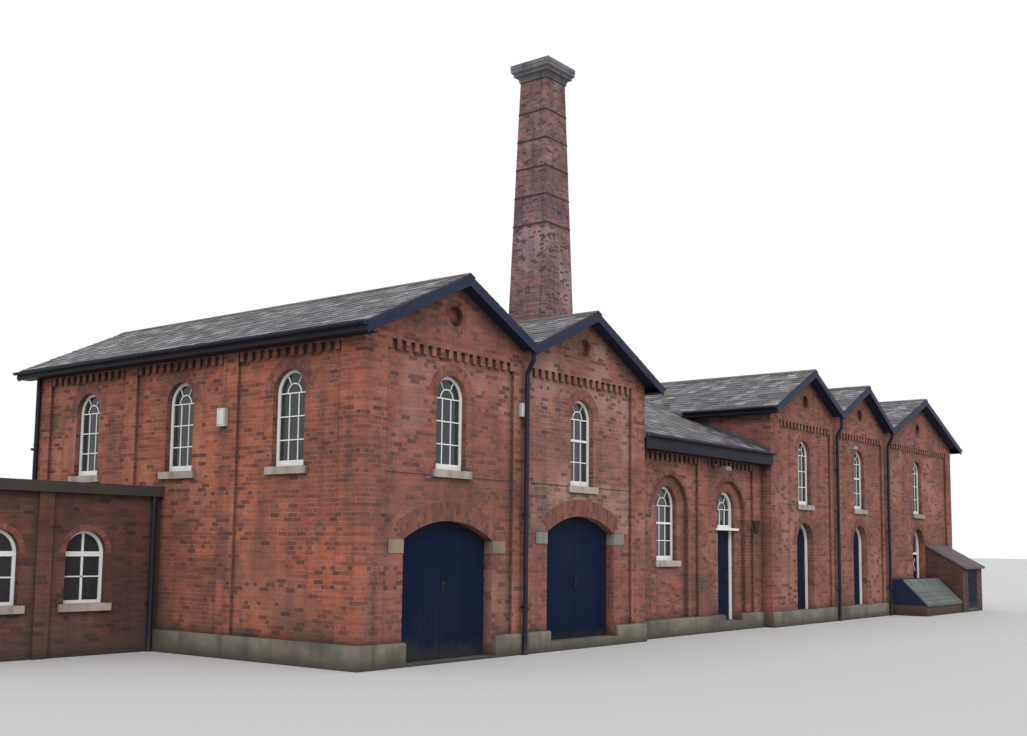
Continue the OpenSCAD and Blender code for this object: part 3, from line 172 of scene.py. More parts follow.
for axis, (turned, first, second) in enumerate(((end_face, 0, 1), (top_face, 2, 1))):
    chosen = brickwork.nodes.new("ShaderNodeMix")
    brickwork.links.new(turned, chosen.inputs[0])
    brickwork.links.new(spot[first], chosen.inputs[2])
    brickwork.links.new(spot[second], chosen.inputs[3])
    brickwork.links.new(chosen.outputs[0], laid.inputs[axis])
shake = brickwork.nodes.new("ShaderNodeTexNoise")
shake.inputs["Scale"].default_value = 6.0
brickwork.links.new(where, shake.inputs["Vector"])
small_shake = brickwork.nodes.new("ShaderNodeVectorMath")
small_shake.operation = "SCALE"
small_shake.inputs["Scale"].default_value = shake_by
brickwork.links.new(shake.outputs["Color"], small_shake.inputs[0])
uneven = brickwork.nodes.new("ShaderNodeVectorMath")
brickwork.links.new(laid.outputs[0], uneven.inputs[0])
brickwork.links.new(small_shake.outputs[0], uneven.inputs[1])
bond = brickwork.nodes.new("ShaderNodeTexBrick")
bond.squash = 0.5
bond.squash_frequency = 4
for label, value in (("Color1", (0, 0, 0, 1)), ("Color2", (1, 1, 1, 1)), ("Scale", 1.0),
                     ("Mortar Size", mortar_joint / 2), ("Mortar Smooth", 0.3), ("Bias", 0.0),
                     ("Brick Width", stretcher), ("Row Height", course)):
    bond.inputs[label].default_value = value
brickwork.links.new(uneven.outputs[0], bond.inputs["Vector"])
lot = bond.outputs["Color"]
in_joint = bond.outputs["Fac"]
broad = speckle(brickwork, where, 0.5, 4)
banded = speckle(brickwork, where, 1.0, 3, (1.1, 1.1, 13.0))
fired = speckle(brickwork, where, 30.0, 4)
repaired = sums(brickwork, "MULTIPLY", ranged(brickwork, broad, 0.54, 0.60), brick_in["Repairs"])
repair = tint(brickwork, sums(brickwork, "GREATER_THAN", lot, 0.8), brick_in["Pale"], brick_in["Dark"])
burnt = sums(brickwork, "MULTIPLY", sums(brickwork, "GREATER_THAN", lot, 0.95), brick_in["Burnt"])
pointed = ranged(brickwork, speckle(brickwork, where, 3.0, 3), 0.35, 0.65, 0.35, 1.0)
brick = brick_in["Red"]
for amount, above in (
        (sums(brickwork, "POWER", lot, 2.0), brick_in["Dark"]),
        (ranged(brickwork, banded, 0.52, 0.70, 0.0, 0.6), brick_in["Dark"]),
        (ranged(brickwork, banded, 0.46, 0.30, 0.0, 0.4), brick_in["Pale"]),
        (ranged(brickwork, broad, 0.48, 0.32, 0.0, 0.55), brick_in["Dark"]),
        (repaired, repair),
        (burnt, burnt_tone),
        (ranged(brickwork, fired, 0.5, 0.75, 0.0, 0.5), brick_in["Dark"]),
        (ranged(brickwork, fired, 0.45, 0.25, 0.0, 0.5), brick_in["Pale"]),
        (sums(brickwork, "MULTIPLY", in_joint, pointed), brick_in["Mortar"])):
    brick = tint(brickwork, amount, brick, above)
relief = sums(brickwork, "ADD", sums(brickwork, "SUBTRACT", 1.0, in_joint),
              sums(brickwork, "MULTIPLY", speckle(brickwork, where, 60.0, 3), 0.6))
brickwork.links.new(brick, brick_out["Colour"])
brickwork.links.new(relief, brick_out["Height"])


def finish(name, roughness, metallic=0.0, bump=0.0, specular=0.5):
    """A material, its tree, its Principled shader and the bump that feeds its normal."""
    material = bpy.data.materials.new(name)
    material.use_nodes = True
    tree = material.node_tree
    shader = tree.nodes["Principled BSDF"]
    shader.inputs["Roughness"].default_value = roughness
    shader.inputs["Metallic"].default_value = metallic
    shader.inputs["Specular IOR Level"].default_value = specular
    bumps = tree.nodes.new("ShaderNodeBump")
    bumps.inputs["Distance"].default_value = bump
    tree.links.new(bumps.outputs[0], shader.inputs["Normal"])
    return material, tree, shader, bumps


def placed(tree, group, **values):
    """A node group in a material, with its inputs set by name."""
    node = tree.nodes.new("ShaderNodeGroup")
    node.node_tree = group
    for label, value in values.items():
        feed(tree, value, node.inputs[label.replace("_", " ")])
    return node.outputs


seam_z = 3.365
seam_t = 0.008
seam_tone = (0.030, 0.022, 0.022, 1)


def brick_finish(name, red, dark, pale, mortar, repairs, burnt, grime, wet, damp_top, seam=0.0, front=None,
                 lower=None):
    """Brickwork under its weather, with an open seam of lost mortar at the sills if any, and
    with another red for the faces turned to the front, or for those below the sills."""
    material, tree, shader, bumps = finish(name, 0.9, bump=0.009, specular=0.3)
    height = axes(tree)[2]
    if lower:
        red = tint(tree, sums(tree, "LESS_THAN", height, seam_z + course), red, lower)
    if front:
        to_front = sums(tree, "ABSOLUTE", axes(tree, "Normal")[1])
        red = tint(tree, sums(tree, "GREATER_THAN", to_front, square_on), red, front)
    wall = placed(tree, brickwork, Red=red, Dark=dark, Pale=pale, Mortar=mortar, Repairs=repairs, Burnt=burnt)
    # The brick takes the usual painted shade in its angles, with the smoke grime there.
    aged = placed(tree, weather, Colour=wall["Colour"], Grime=grime, Runs=wet, Damp_top=damp_top)["Colour"]
    if seam:
        off = sums(tree, "ABSOLUTE", sums(tree, "SUBTRACT", height, seam_z))
        aged = tint(tree, ranged(tree, off, seam_t, 2 * seam_t, seam, 0.0), aged, seam_tone)
    tree.links.new(aged, shader.inputs["Base Color"])
    tree.links.new(wall["Height"], bumps.inputs["Height"])
    return material


def dress(material, *names):
    """Gives nodes carried over from the frame their material."""
    for name in names:
        nodes[name].data.materials.clear()
        nodes[name].data.materials.append(material)


front_red = (0.36, 0.109, 0.069, 1)
front_tones = (front_red, (0.125, 0.048, 0.044, 1), (0.42, 0.20, 0.155, 1), (0.30, 0.22, 0.18, 1))
front_brick = brick_finish("Front brick", *front_tones, repairs=0.5, burnt=0.15, grime=0.40, wet=0.35,
                           damp_top=0.6, seam=0.8)
plain_brick = brick_finish("Link and rear brick", *front_tones, repairs=0.4, burnt=0.15, grime=0.40, wet=0.35,
                           damp_top=0.6)
patched_brick = brick_finish("Patched brick", (0.36, 0.120, 0.080, 1), (0.125, 0.055, 0.052, 1),
                             (0.46, 0.26, 0.215, 1), (0.42, 0.35, 0.31, 1), repairs=0.5, burnt=0.3,
                             grime=0.35, wet=0.3, damp_top=0.6, seam=0.9, lower=(0.43, 0.205, 0.155, 1))
end_brick = brick_finish("End wall brick", (0.43, 0.115, 0.058, 1), (0.130, 0.040, 0.030, 1),
                         (0.47, 0.19, 0.12, 1), (0.38, 0.29, 0.22, 1), repairs=0.35, burnt=0.2, grime=0.5,
                         wet=0.4, damp_top=0.9, front=front_red)
annex_brick = brick_finish("Annex brick", (0.155, 0.047, 0.034, 1), (0.060, 0.026, 0.022, 1),
                           (0.21, 0.10, 0.08, 1), (0.13, 0.10, 0.085, 1), repairs=0.3, burnt=0.6, grime=0.55,
                           wet=0.5, damp_top=0.6)
dress(front_brick, "front_wall_1", "front_wall_3", "front_wall_4", "front_wall_5", "front_piers")
dress(patched_brick, "front_wall_2")
dress(plain_brick, "link_front_wall", "cross_walls", "rear_walls", "dentil_courses")
dress(end_brick, "west_end_wall", "east_end_wall")
dress(annex_brick, "annex_walls", "store_walls", "hatch_base")

# Sandstone: sills, springers beside the cart doors, plinth blocks and door steps, and the
# coping of the annex. The second gable's springers are in greyer stone, and the end wall's
# plinth is rendered. The floors inside are concrete below and boards above.


def weathered_and_shaded(tree, shader, bumps, colour, grime, wet, damp_top, soot_and_shade=usual_soot_and_shade, relief=None):
    """Feeds a shader a colour under its weather, with its angles darkened by smoke grime and painted shade,
    and the bumps the weather's grain or a relief.
    """
    aged = placed(tree, weather, Colour=colour, Grime=grime, Runs=wet, Damp_top=damp_top, Soot=soot_and_shade)
    tree.links.new(aged["Colour"], shader.inputs["Base Color"])
    tree.links.new(relief or aged["Height"], bumps.inputs["Height"])


def worn_and_shaded(name, colour, roughness, grime, wet, damp_top, bump, metallic=0.0, specular=0.4, soot_and_shade=usual_soot_and_shade):
    """One plain finish under its weather, with smoke grime and painted shade in its angles."""
    material, tree, shader, bumps = finish(name, roughness, metallic, bump, specular)
    weathered_and_shaded(tree, shader, bumps, colour, grime, wet, damp_top, soot_and_shade)
    return material


def join_blocks(name, blocks, material, body="building"):
    """One mesh of six-sided blocks, each given by four corners below and four above."""
    sides = ((0, 3, 2, 1), (4, 5, 6, 7), (0, 1, 5, 4), (1, 2, 6, 5), (2, 3, 7, 6), (3, 0, 4, 7))
    mesh = bpy.data.meshes.new(name)
    mesh.from_pydata([tuple(p) for corners in blocks for p in corners], [],
                     [tuple(8 * i + k for k in side) for i in range(len(blocks)) for side in sides])
    mesh.materials.append(material)
    piece = bpy.data.objects.new(name, mesh)
    bpy.context.scene.collection.objects.link(piece)
    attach(piece, body)


def upright(lo, hi):
    """The corners of an upright block."""
    flat = ((lo[0], lo[1]), (hi[0], lo[1]), (hi[0], hi[1]), (lo[0], hi[1]))
    return [(x, y, z) for z in (lo[2], hi[2]) for x, y in flat]


springer_buff = (0.30, 0.23, 0.145, 1)
springer_grey = (0.30, 0.285, 0.27, 1)
sill_stone = worn_and_shaded("Sill stone", (0.42, 0.36, 0.31, 1), roughness=0.9, grime=0.45, wet=0.5, damp_top=0.5,
                  bump=0.006)
springer_stone, springer_tree, springer_shader, springer_bumps = finish(
    "Springer stone", 0.9, bump=0.006, specular=0.4)
greyer = sums(springer_tree, "GREATER_THAN", axes(springer_tree)[0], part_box("front_wall_2")[0].x)
weathered_and_shaded(springer_tree, springer_shader, springer_bumps,
          tint(springer_tree, greyer, springer_buff, springer_grey), grime=0.55, wet=0.3, damp_top=0.5)
plinth_stone = worn_and_shaded("Plinth stone", (0.20, 0.175, 0.135, 1), roughness=0.92, grime=0.75, wet=0.5,
                    damp_top=0.35, bump=0.012)
coping_stone = worn_and_shaded("Coping stone", (0.048, 0.040, 0.030, 1), roughness=0.92, grime=0.5, wet=0.6,
                    damp_top=0.1, bump=0.008)
concrete = worn_and_shaded("Concrete", (0.30, 0.29, 0.27, 1), roughness=0.92, grime=0.3, wet=0.0, damp_top=0.1,
                bump=0.003)
floor_boards = worn_and_shaded("Floor boards", (0.30, 0.19, 0.10, 1), roughness=0.7, grime=0.3, wet=0.0, damp_top=0.1,
                    bump=0.002)
dress(sill_stone, "stone_sills")
dress(springer_stone, "springer_stones")
dress(plinth_stone, "plinth_stones", "door_sills")
dress(coping_stone, "annex_coping")
dress(concrete, "ground_floors", "annex_roof")
dress(floor_boards, "upper_floors")

plinth_out = 0.060
plinth_top = 0.420
render_t = 0.004
render_lap = 0.020
render_foot = 0.002
render_back = -0.002
render_face = -plinth_out - render_t
render_top = plinth_top + render_t
annex_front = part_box("annex_walls")[0].y
front_plinth_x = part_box("plinth_stones")[0].x
join_blocks("end_wall_plinth_render", [
    upright((render_face, render_face, render_foot), (render_back, annex_front, render_top)),
    upright((render_back, render_face, render_foot), (front_plinth_x + render_lap, render_back, render_top)),
], plinth_stone)

# Windows: round-headed white frames set back in the wall, each with one sheet of glass
# behind bars. Three panes across, a small arch and two rays in the head; some have a
# thicker meeting rail, and the annex windows have two wide panes.
up = Vector((0, 0, 1))
frame_w = 0.060
glass_back = 0.142
widest_window = 0.95
pane_h = 0.42
bar = 0.020
bar_back = 0.003
bar_front = 0.018
level_front = 0.014
level_swell = 0.4
meeting_rail = 2.4 * bar
bottom_rail = 0.055
bottom_front = 0.026
annex_mullion = 0.044
annex_bar = 0.024
transom_below = 0.060
transom_above = 0.030
transom_front = 0.028
head_ring = 0.46
head_steps = 10
weld_grid = 5000
# The white paint takes only a little of the painted shade in the angles.
white = worn_and_shaded("White paint", (0.82, 0.82, 0.79, 1), roughness=0.45, grime=0.10, wet=0.12, damp_top=0.2,
             bump=0.001, soot_and_shade=0.12)
dress(white, "window_frames", "door_frames")


def solids(name):
    """The lowest and highest corner of each separate solid of a node."""
    mesh = nodes[name].data
    keys = [tuple(round(c * weld_grid) for c in vertex.co) for vertex in mesh.vertices]
    above = {key: key for key in keys}

    def root(key):
        while above[key] != key:
            above[key] = above[above[key]]
            key = above[key]
        return key

    for face in mesh.polygons:
        for i in face.vertices[1:]:
            above[root(keys[i])] = root(keys[face.vertices[0]])
    found = {}
    for key, vertex in zip(keys, mesh.vertices):
        found.setdefault(root(key), []).append(vertex.co)
    return [(Vector([min(p[a] for p in points) for a in range(3)]),
             Vector([max(p[a] for p in points) for a in range(3)])) for points in found.values()]


rear_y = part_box("rear_walls")[0].y
west_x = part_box("west_end_wall")[1].x
sash_bays = [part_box(name) for name in ("front_wall_2", "link_front_wall", "front_wall_4")]
windows = []
for lo, hi in solids("window_glass"):
    middle = (lo + hi) / 2
    along_front = hi.x - lo.x > hi.y - lo.y
    wide = hi.x - lo.x if along_front else hi.y - lo.y
    if wide > widest_window:
        continue
    if along_front:
        out = Vector((0, -1 if middle.y < rear_y else 1, 0))
    else:
        out = Vector((-1 if middle.x < west_x else 1, 0, 0))
    windows.append({"foot": Vector((middle.x, middle.y, lo.z)), "right": up.cross(out), "out": out,
                    "half": wide / 2, "spring": hi.z - lo.z - wide / 2, "annex": middle.x < 0,
                    "sash": any(west.x < middle.x < east.x for west, east in sash_bays)})


def glazing_bar(window, u0, u1, z0, z1, front=bar_front):
    """A straight bar in front of a window's glass."""
    return [window["foot"] + window["right"] * u + window["out"] * w + up * z
            for z in (z0, z1) for u, w in ((u0, bar_back), (u1, bar_back), (u1, front), (u0, front))]


def wedge(centre, right, out, r0, r1, a0, a1, w0, w1):
    """A block between two radii and two angles, standing out from w0 to w1."""
    return [centre + right * (r * math.cos(a)) + up * (r * math.sin(a)) + out * w
            for w in (w0, w1) for r, a in ((r0, a0), (r1, a0), (r1, a1), (r0, a1))]


def head_bars(window):
    """The small arch in a window's head and the two rays that leave it."""
    half, right, out = window["half"], window["right"], window["out"]
    centre = window["foot"] + up * window["spring"]
    inner = head_ring * half
    turn = bar / (2 * half)
    ring = [wedge(centre, right, out, inner, inner + bar, math.pi * i / head_steps,
                  math.pi * (i + 1) / head_steps, bar_back, bar_front) for i in range(head_steps)]
    return ring + [wedge(centre, right, out, inner, half, a - turn, a + turn, bar_back, bar_front)
                   for a in (math.pi / 3, 2 * math.pi / 3)]


glazing = []
for window in windows:
    half, spring = window["half"], window["spring"]
    if window["annex"]:
        glazing.append(glazing_bar(window, -annex_mullion / 2, annex_mullion / 2, 0, spring + half))
        glazing.append(glazing_bar(window, -half, half, spring - transom_below, spring + transom_above,
                                   transom_front))
        glazing.append(glazing_bar(window, -half, half, (spring - annex_bar) / 2, (spring + annex_bar) / 2))
        continue
    glazing += [glazing_bar(window, u - bar / 2, u + bar / 2, 0, spring) for u in (-half / 3, half / 3)]
    glazing.append(glazing_bar(window, -half, half, 0, bottom_rail, bottom_front))
    rows = max(2, round(spring / pane_h))
    for row in range(1, rows + 1):
        deep = meeting_rail if window["sash"] and row == rows - 1 else bar
        z = spring * row / rows
        glazing.append(glazing_bar(window, -half, half, z - deep / 2, z + deep / 2,
                                   level_front + level_swell * deep))
    glazing += head_bars(window)
join_blocks("glazing_bars", glazing, white)

glass, glass_tree, glass_shader, glass_bumps = finish("Old glass", 0.05, bump=0.0015)
glass_shader.inputs["Base Color"].default_value = (0.030, 0.036, 0.040, 1)
glass_shader.inputs["Alpha"].default_value = 0.82
ripple = speckle(glass_tree, glass_tree.nodes.new("ShaderNodeTexCoord").outputs["Object"], 3.0, 2)
glass_tree.links.new(ripple, glass_bumps.inputs["Height"])
dress(glass, "window_glass")

# Doors: ledged leaves of upright boards, painted dark blue, hung on iron pins behind the
# brick jambs. The link's and the last gable's have a light over a rail; the cart doors meet
# in the middle under flat arches.
board_w = 0.145
board_groove = 0.05
board_navy = (0.0012, 0.0085, 0.0320, 1)
groove_navy = (0.0005, 0.0015, 0.0045, 1)


def stripes(tree, distance, pitch, share):
    """A mask that is 1 in the first share of every pitch."""
    return sums(tree, "LESS_THAN", sums(tree, "FRACT", sums(tree, "DIVIDE", distance, pitch)), share)


door_paint, door_tree, door_shader, door_bumps = finish("Door paint", 0.6, bump=0.006, specular=0.05)
groove = stripes(door_tree, axes(door_tree)[0], board_w, board_groove)
weathered_and_shaded(door_tree, door_shader, door_bumps, tint(door_tree, groove, board_navy, groove_navy), grime=0.10,
          wet=0.06, damp_top=0.4, relief=sums(door_tree, "SUBTRACT", 1.0, groove))
dress(door_paint, "cart_door_1_left", "cart_door_1_right", "cart_door_2_left", "cart_door_2_right",
      "link_door", "gable_3_door", "gable_4_door", "gable_5_door", "store_door")
iron = worn_and_shaded("Weathered iron", (0.045, 0.038, 0.034, 1), roughness=0.7, grime=0.5, wet=0.2, damp_top=0.2,
            bump=0.002, metallic=0.5)
dress(iron, "hinge_pins")

east = Vector((1, 0, 0))
forward = Vector((0, -1, 0))
leaf_side = 0.052
leaf_over = 0.035
link_crown = 3.600
link_rail_top = 2.670
gable_5_rail_top = 2.050
door_frame_w = 0.075
light_before_leaf = 0.010
light_front = 0.030
light_rail = 0.050
light_rail_front = 0.046
light_bar_foot = 0.020
lights = []
for name, rail_top in (("link_door", link_rail_top), ("gable_5_door", gable_5_rail_top)):
    lo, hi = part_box(name)
    radius = (hi.x - lo.x) / 2 - leaf_side
    # Known fault: the last gable's leaf stops below its light, so its head bars stand too low.
    crown = link_crown if name == "link_door" else hi.z - leaf_over
    light = {"foot": Vector(((lo.x + hi.x) / 2, lo.y - light_before_leaf, rail_top)), "right": east,
             "out": forward, "half": radius - door_frame_w, "spring": crown - radius - rail_top}
    half, spring = light["half"], light["spring"]
    if name == "link_door":
        lights.append(glazing_bar(light, -half, half, 0, light_rail, light_rail_front))
        lights += [glazing_bar(light, u - bar / 2, u + bar / 2, 0, spring, light_front)
                   for u in (-half / 3, half / 3)]
        lights.append(glazing_bar(light, -half, half, spring - bar / 2, spring + bar / 2, light_front))
    else:
        lights.append(glazing_bar(light, -bar / 2, bar / 2, 0, light_bar_foot + half, light_front))
    lights += head_bars(light)
join_blocks("door_lights", lights, white)

# Door furniture: a dark iron drop handle screwed to each framed door and to the right leaf of
# each pair of cart doors, and the moulded rail across the middle of the link's door. Each part
# of a handle has a half width, a front and back before the leaf, and a foot and top.
handle_z = 1.35
framed_door_in = 0.21
cart_door_in = 0.08
back_plate = (0.030, 0.004, -0.002, -0.090, 0.090)
grip = (0.008, 0.022, 0.012, -0.070, 0.050)
grip_foot = (0.008, 0.022, 0.003, -0.070, -0.055)
grip_neck = (0.008, 0.022, 0.003, 0.035, 0.050)
cart_leaves = ("cart_door_1_right", "cart_door_2_right")
for name in ("link_door", "gable_3_door", "gable_4_door", "gable_5_door") + cart_leaves:
    lo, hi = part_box(name)
    x = lo.x + cart_door_in if name in cart_leaves else hi.x - framed_door_in
    fittings = [upright((x - half, lo.y - front, handle_z + foot), (x + half, lo.y - back, handle_z + top))
                for half, front, back, foot, top in (back_plate, grip, grip_foot, grip_neck)]
    join_blocks(name + "_handle", fittings, iron, name)

rail_in = 0.15
rail_foot = 1.18
rail_head = 1.30
rail_into_leaf = 0.002
lo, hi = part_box("link_door")
rail = [upright((lo.x + rail_in, lo.y - front, rail_foot + edge),
                (hi.x - rail_in, lo.y + rail_into_leaf, rail_head - edge))
        for front, edge in ((0.004, 0.0), (0.007, 0.006), (0.009, 0.014))]
join_blocks("link_door_rail", rail, door_paint, "link_door")

# Arches of brick: headers on edge, each cut to a wedge, in rings over the windows, doorways
# and recesses and round the oculus of each gable. They stand a hair proud on a mortar bed.
header = 0.108
arch_into_wall = 0.010
header_front = 0.004
bed_front = 0.0015


def toned(name, tones, roughness, bump, specular, grime, wet, damp_top, soot_and_shade=usual_soot_and_shade):
    """A finish that gives each separate block its own tone, under its weather, with smoke grime and painted
    shade in its angles.
    """
    material, tree, shader, bumps = finish(name, roughness, bump=bump, specular=specular)
    ramp = tree.nodes.new("ShaderNodeValToRGB")
    stops = ramp.color_ramp.elements
    for position, _ in tones[1:-1]:
        stops.new(position)
    for stop, (position, colour) in zip(stops, tones):
        stop.position = position
        stop.color = colour
    tree.links.new(tree.nodes.new("ShaderNodeNewGeometry").outputs["Random Per Island"], ramp.inputs[0])
    weathered_and_shaded(tree, shader, bumps, ramp.outputs[0], grime, wet, damp_top, soot_and_shade)
    return material


arch_brick = toned("Arch brick", ((0.0, (0.135, 0.050, 0.043, 1)), (1.0, (0.29, 0.098, 0.067, 1))),
                   roughness=0.9, bump=0.006, specular=0.3, grime=0.4, wet=0.3, damp_top=0.1)
arch_mortar = worn_and_shaded("Arch mortar", (0.175, 0.125, 0.10, 1), roughness=0.95, grime=0.4, wet=0.2, damp_top=0.1,
                   bump=0.003)
headers, beds = [], []


def arch(centre, right, out, radius, rings, a0=0.0, a1=math.pi):
    """Rings of bricks round an arch, between two angles."""
    for ring in range(rings):
        r0 = radius + ring * (header + mortar_joint)
        count = round((a1 - a0) * (r0 + header / 2) / course)
        step = (a1 - a0) / count
        gap = mortar_joint / (2 * (r0 + header / 2))
        for i in range(count):
            start, end = a0 + i * step, a0 + (i + 1) * step
            headers.append(wedge(centre, right, out, r0, r0 + header, start + gap, end - gap,
                                 -arch_into_wall, header_front))
            beds.append(wedge(centre, right, out, r0, r0 + header + mortar_joint, start, end,
                              -arch_into_wall, bed_front))


for window in windows:
    centre = window["foot"] + up * window["spring"] + window["out"] * glass_back
    arch(centre, window["right"], window["out"], window["half"] + frame_w, 1 if window["annex"] else 2)

panel_y = 0.060
cart_rise = 0.35
for number in (1, 2):
    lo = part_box("cart_door_%d_left" % number)[0]
    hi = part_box("cart_door_%d_right" % number)[1]
    span = hi.x - lo.x - 2 * leaf_side
    radius = (span * span / 4 + cart_rise * cart_rise) / (2 * cart_rise)
    springing = math.asin(1 - cart_rise / radius)
    centre = Vector(((lo.x + hi.x) / 2, panel_y, hi.z - leaf_over - radius))
    arch(centre, east, forward, radius, 3, springing, math.pi - springing)
gable_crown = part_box("gable_3_door")[1].z - leaf_over
for name in ("gable_3_door", "gable_4_door", "gable_5_door"):
    lo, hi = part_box(name)
    radius = (hi.x - lo.x) / 2 - leaf_side
    arch(Vector(((lo.x + hi.x) / 2, panel_y, gable_crown - radius)), east, forward, radius, 2)

recess_r = 0.890
recess_crown = 3.870
recess_deep = 0.100
link_lo, link_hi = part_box("link_front_wall")
link_face = link_lo.y + panel_y
lo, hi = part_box("link_door")
door_x = (lo.x + hi.x) / 2
radius = (hi.x - lo.x) / 2 - leaf_side
arch(Vector((door_x, link_face + recess_deep, link_crown - radius)), east, forward, radius, 1)
for window in windows:
    if link_lo.x < window["foot"].x < link_hi.x and window["out"].y < 0:
        for x in (window["foot"].x, door_x):
            arch(Vector((x, link_face, recess_crown - recess_r)), east, forward, recess_r, 1)

oculus_r = 0.200
oculus_z = 6.360
for number in range(1, 6):
    lo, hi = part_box("front_wall_%d" % number)
    arch(Vector(((lo.x + hi.x) / 2, 0, oculus_z)), east, forward, oculus_r, 1, 0, 2 * math.pi)
join_blocks("arch_bricks", headers, arch_brick)
join_blocks("arch_mortar", beds, arch_mortar)

# Roofs: Welsh slates nailed to battens, course over course from the eaves, each half under
# the next two. They differ in tone and lie a little askew, and the ridge is in clay tiles.
slate_w = 0.26
slate_gap = 0.004
slate_gauge = 0.20
slate_length = 1.9 * slate_gauge
slate_t = 0.008
slate_tail = 0.017
slate_head = 0.001
slate_slip = 0.004
tail_lift = (-0.004, 0.003)
least_length = 0.05
least_tail = 0.02
least_head = 0.01
line_in = 0.001
steepest_up = 0.5
level_up = 0.999
# The slates take less painted shade in their angles than the usual amount.
slate = toned("Slate", ((0.0, (0.045, 0.041, 0.049, 1)), (0.78, (0.160, 0.146, 0.163, 1)),
                        (1.0, (0.330, 0.308, 0.322, 1))),
              roughness=0.55, bump=0.003, specular=0.4, grime=0.35, wet=0.3, damp_top=0.1, soot_and_shade=0.5)


def slopes(name, least=2.0):
    """The sloping upper faces of a node: each a normal and the faces that lie in it."""
    found = {}
    mesh = nodes[name].data
    for face in mesh.polygons:
        n = face.normal
        if steepest_up < n.z < level_up:
            points = [mesh.vertices[i].co.copy() for i in face.vertices]
            key = (round(n.x, 2), round(n.y, 2), round(n.dot(points[0]), 2))
            found.setdefault(key, []).append((n.copy(), face.area, points))
    return [(faces[0][0], [f[2] for f in faces]) for faces in found.values()
            if sum(f[1] for f in faces) > least]


def slope_axes(normal, faces):
    """A slope's directions up and along it, a point in its plane, and its foot and top."""
    rise = (up - normal * normal.z).normalized()
    heights = [p.dot(rise) for points in faces for p in points]
    return rise, rise.cross(normal), normal * faces[0][0].dot(normal), min(heights), max(heights)


def reach_at(faces, along, rise, s):
    """Where a level line across a slope, s up it, enters and leaves it."""
    hits = []
    for points in faces:
        for p, q in zip(points, points[1:] + points[:1]):
            a, b = p.dot(rise) - s, q.dot(rise) - s
            if a * b <= 0 and a != b:
                hits.append((p + (q - p) * (a / (a - b))).dot(along))
    return (min(hits), max(hits)) if hits else None


def slated(normal, faces, chance):
    """The slates of one slope."""
    rise, along, base, foot, top = slope_axes(normal, faces)
    blocks = []
    for row in range(int((top - foot) / slate_gauge) + 1):
        s0 = foot + row * slate_gauge
        s1 = min(s0 + slate_length, top)
        tail = reach_at(faces, along, rise, s0 + line_in)
        head = reach_at(faces, along, rise, s1 - line_in)
        if not tail or not head or s1 - s0 < least_length:
            continue
        start = min(tail[0], head[0])
        for i in range(int((max(tail[1], head[1]) - start) / slate_w) + 2):
            t0 = start + (i - 0.5 * (row % 2)) * slate_w
            t1 = t0 + slate_w - slate_gap
            low0, low1 = max(t0, tail[0]), min(t1, tail[1])
            top0, top1 = max(t0, head[0]), min(t1, head[1])
            if low1 - low0 < least_tail:
                continue
            if top1 - top0 < least_head:
                top0 = min(max((t0 + t1) / 2, head[0]), head[1] - least_head)
                top1 = top0 + least_head
            slip = chance.uniform(-slate_slip, slate_slip)
            lift = slate_tail + chance.uniform(*tail_lift)
            blocks.append([base + along * t + rise * s + normal * (h + rest - slate_t)
                           for rest in (0.0, slate_t)
                           for t, s, h in ((low0, s0 + slip, lift), (low1, s0 + slip, lift),
                                           (top1, s1, slate_head), (top0, s1, slate_head))])
    return blocks


for number, name in enumerate(("roof_1", "roof_2", "roof_3", "roof_4", "roof_5", "link_roof")):
    dress(slate, name)
    chance = random.Random(number)
    slates = [block for normal, faces in slopes(name) for block in slated(normal, faces, chance)]
    join_blocks(name + "_slates", slates, slate)

ridge_tile_length = 0.45
ridge_joint = 0.04
ridge_grey = (0.150, 0.135, 0.130, 1)
ridge_joint_tone = (0.035, 0.032, 0.030, 1)
ridge_tile, ridge_tree, ridge_shader, ridge_bumps = finish("Ridge tile", 0.8, bump=0.006, specular=0.3)
ridge_at = axes(ridge_tree)
along_ridge = sums(ridge_tree, "ADD", ridge_at[0], ridge_at[1])
at_joint = stripes(ridge_tree, along_ridge, ridge_tile_length, ridge_joint)
weathered_and_shaded(ridge_tree, ridge_shader, ridge_bumps, tint(ridge_tree, at_joint, ridge_grey, ridge_joint_tone),
          grime=0.6, wet=0.3, damp_top=0.1, relief=sums(ridge_tree, "SUBTRACT", 1.0, at_joint))
dress(ridge_tile, "ridge_tiles")

# Lead: gutters in the valleys, and stepped flashings dressed up the gables where the link's
# roof meets them.
lead = worn_and_shaded("Lead", (0.12, 0.122, 0.135, 1), roughness=0.6, grime=0.5, wet=0.3, damp_top=0.1, bump=0.002,
            metallic=0.3)
dress(lead, "valley_gutters")
flashing_first = 0.30
flashing_step = 0.20
flashing_up = 0.07
flashing_end = 0.10
flashing_in = (-0.001, 0.004)
below_eaves = 0.05
steps = []
roof_lo, roof_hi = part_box("link_roof")
roof_middle = (roof_lo.x + roof_hi.x) / 2
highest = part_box("roof_3")[0].z - below_eaves
for normal, faces in slopes("link_roof"):
    rise, along, base, foot, top = slope_axes(normal, faces)
    s = foot + flashing_first
    while s + flashing_step < top - flashing_end:
        for t in reach_at(faces, along, rise, s):
            low = base + along * t + rise * s
            high = base + along * t + rise * (s + flashing_step)
            inward = east if low.x < roof_middle else -east
            crest = high.z + flashing_up
            if crest > highest:
                continue
            steps.append([p + inward * w for w in flashing_in for p in (
                low, high, Vector((high.x, high.y, crest)), Vector((low.x, low.y, crest)))])
        s += flashing_step
join_blocks("lead_flashings", steps, lead)

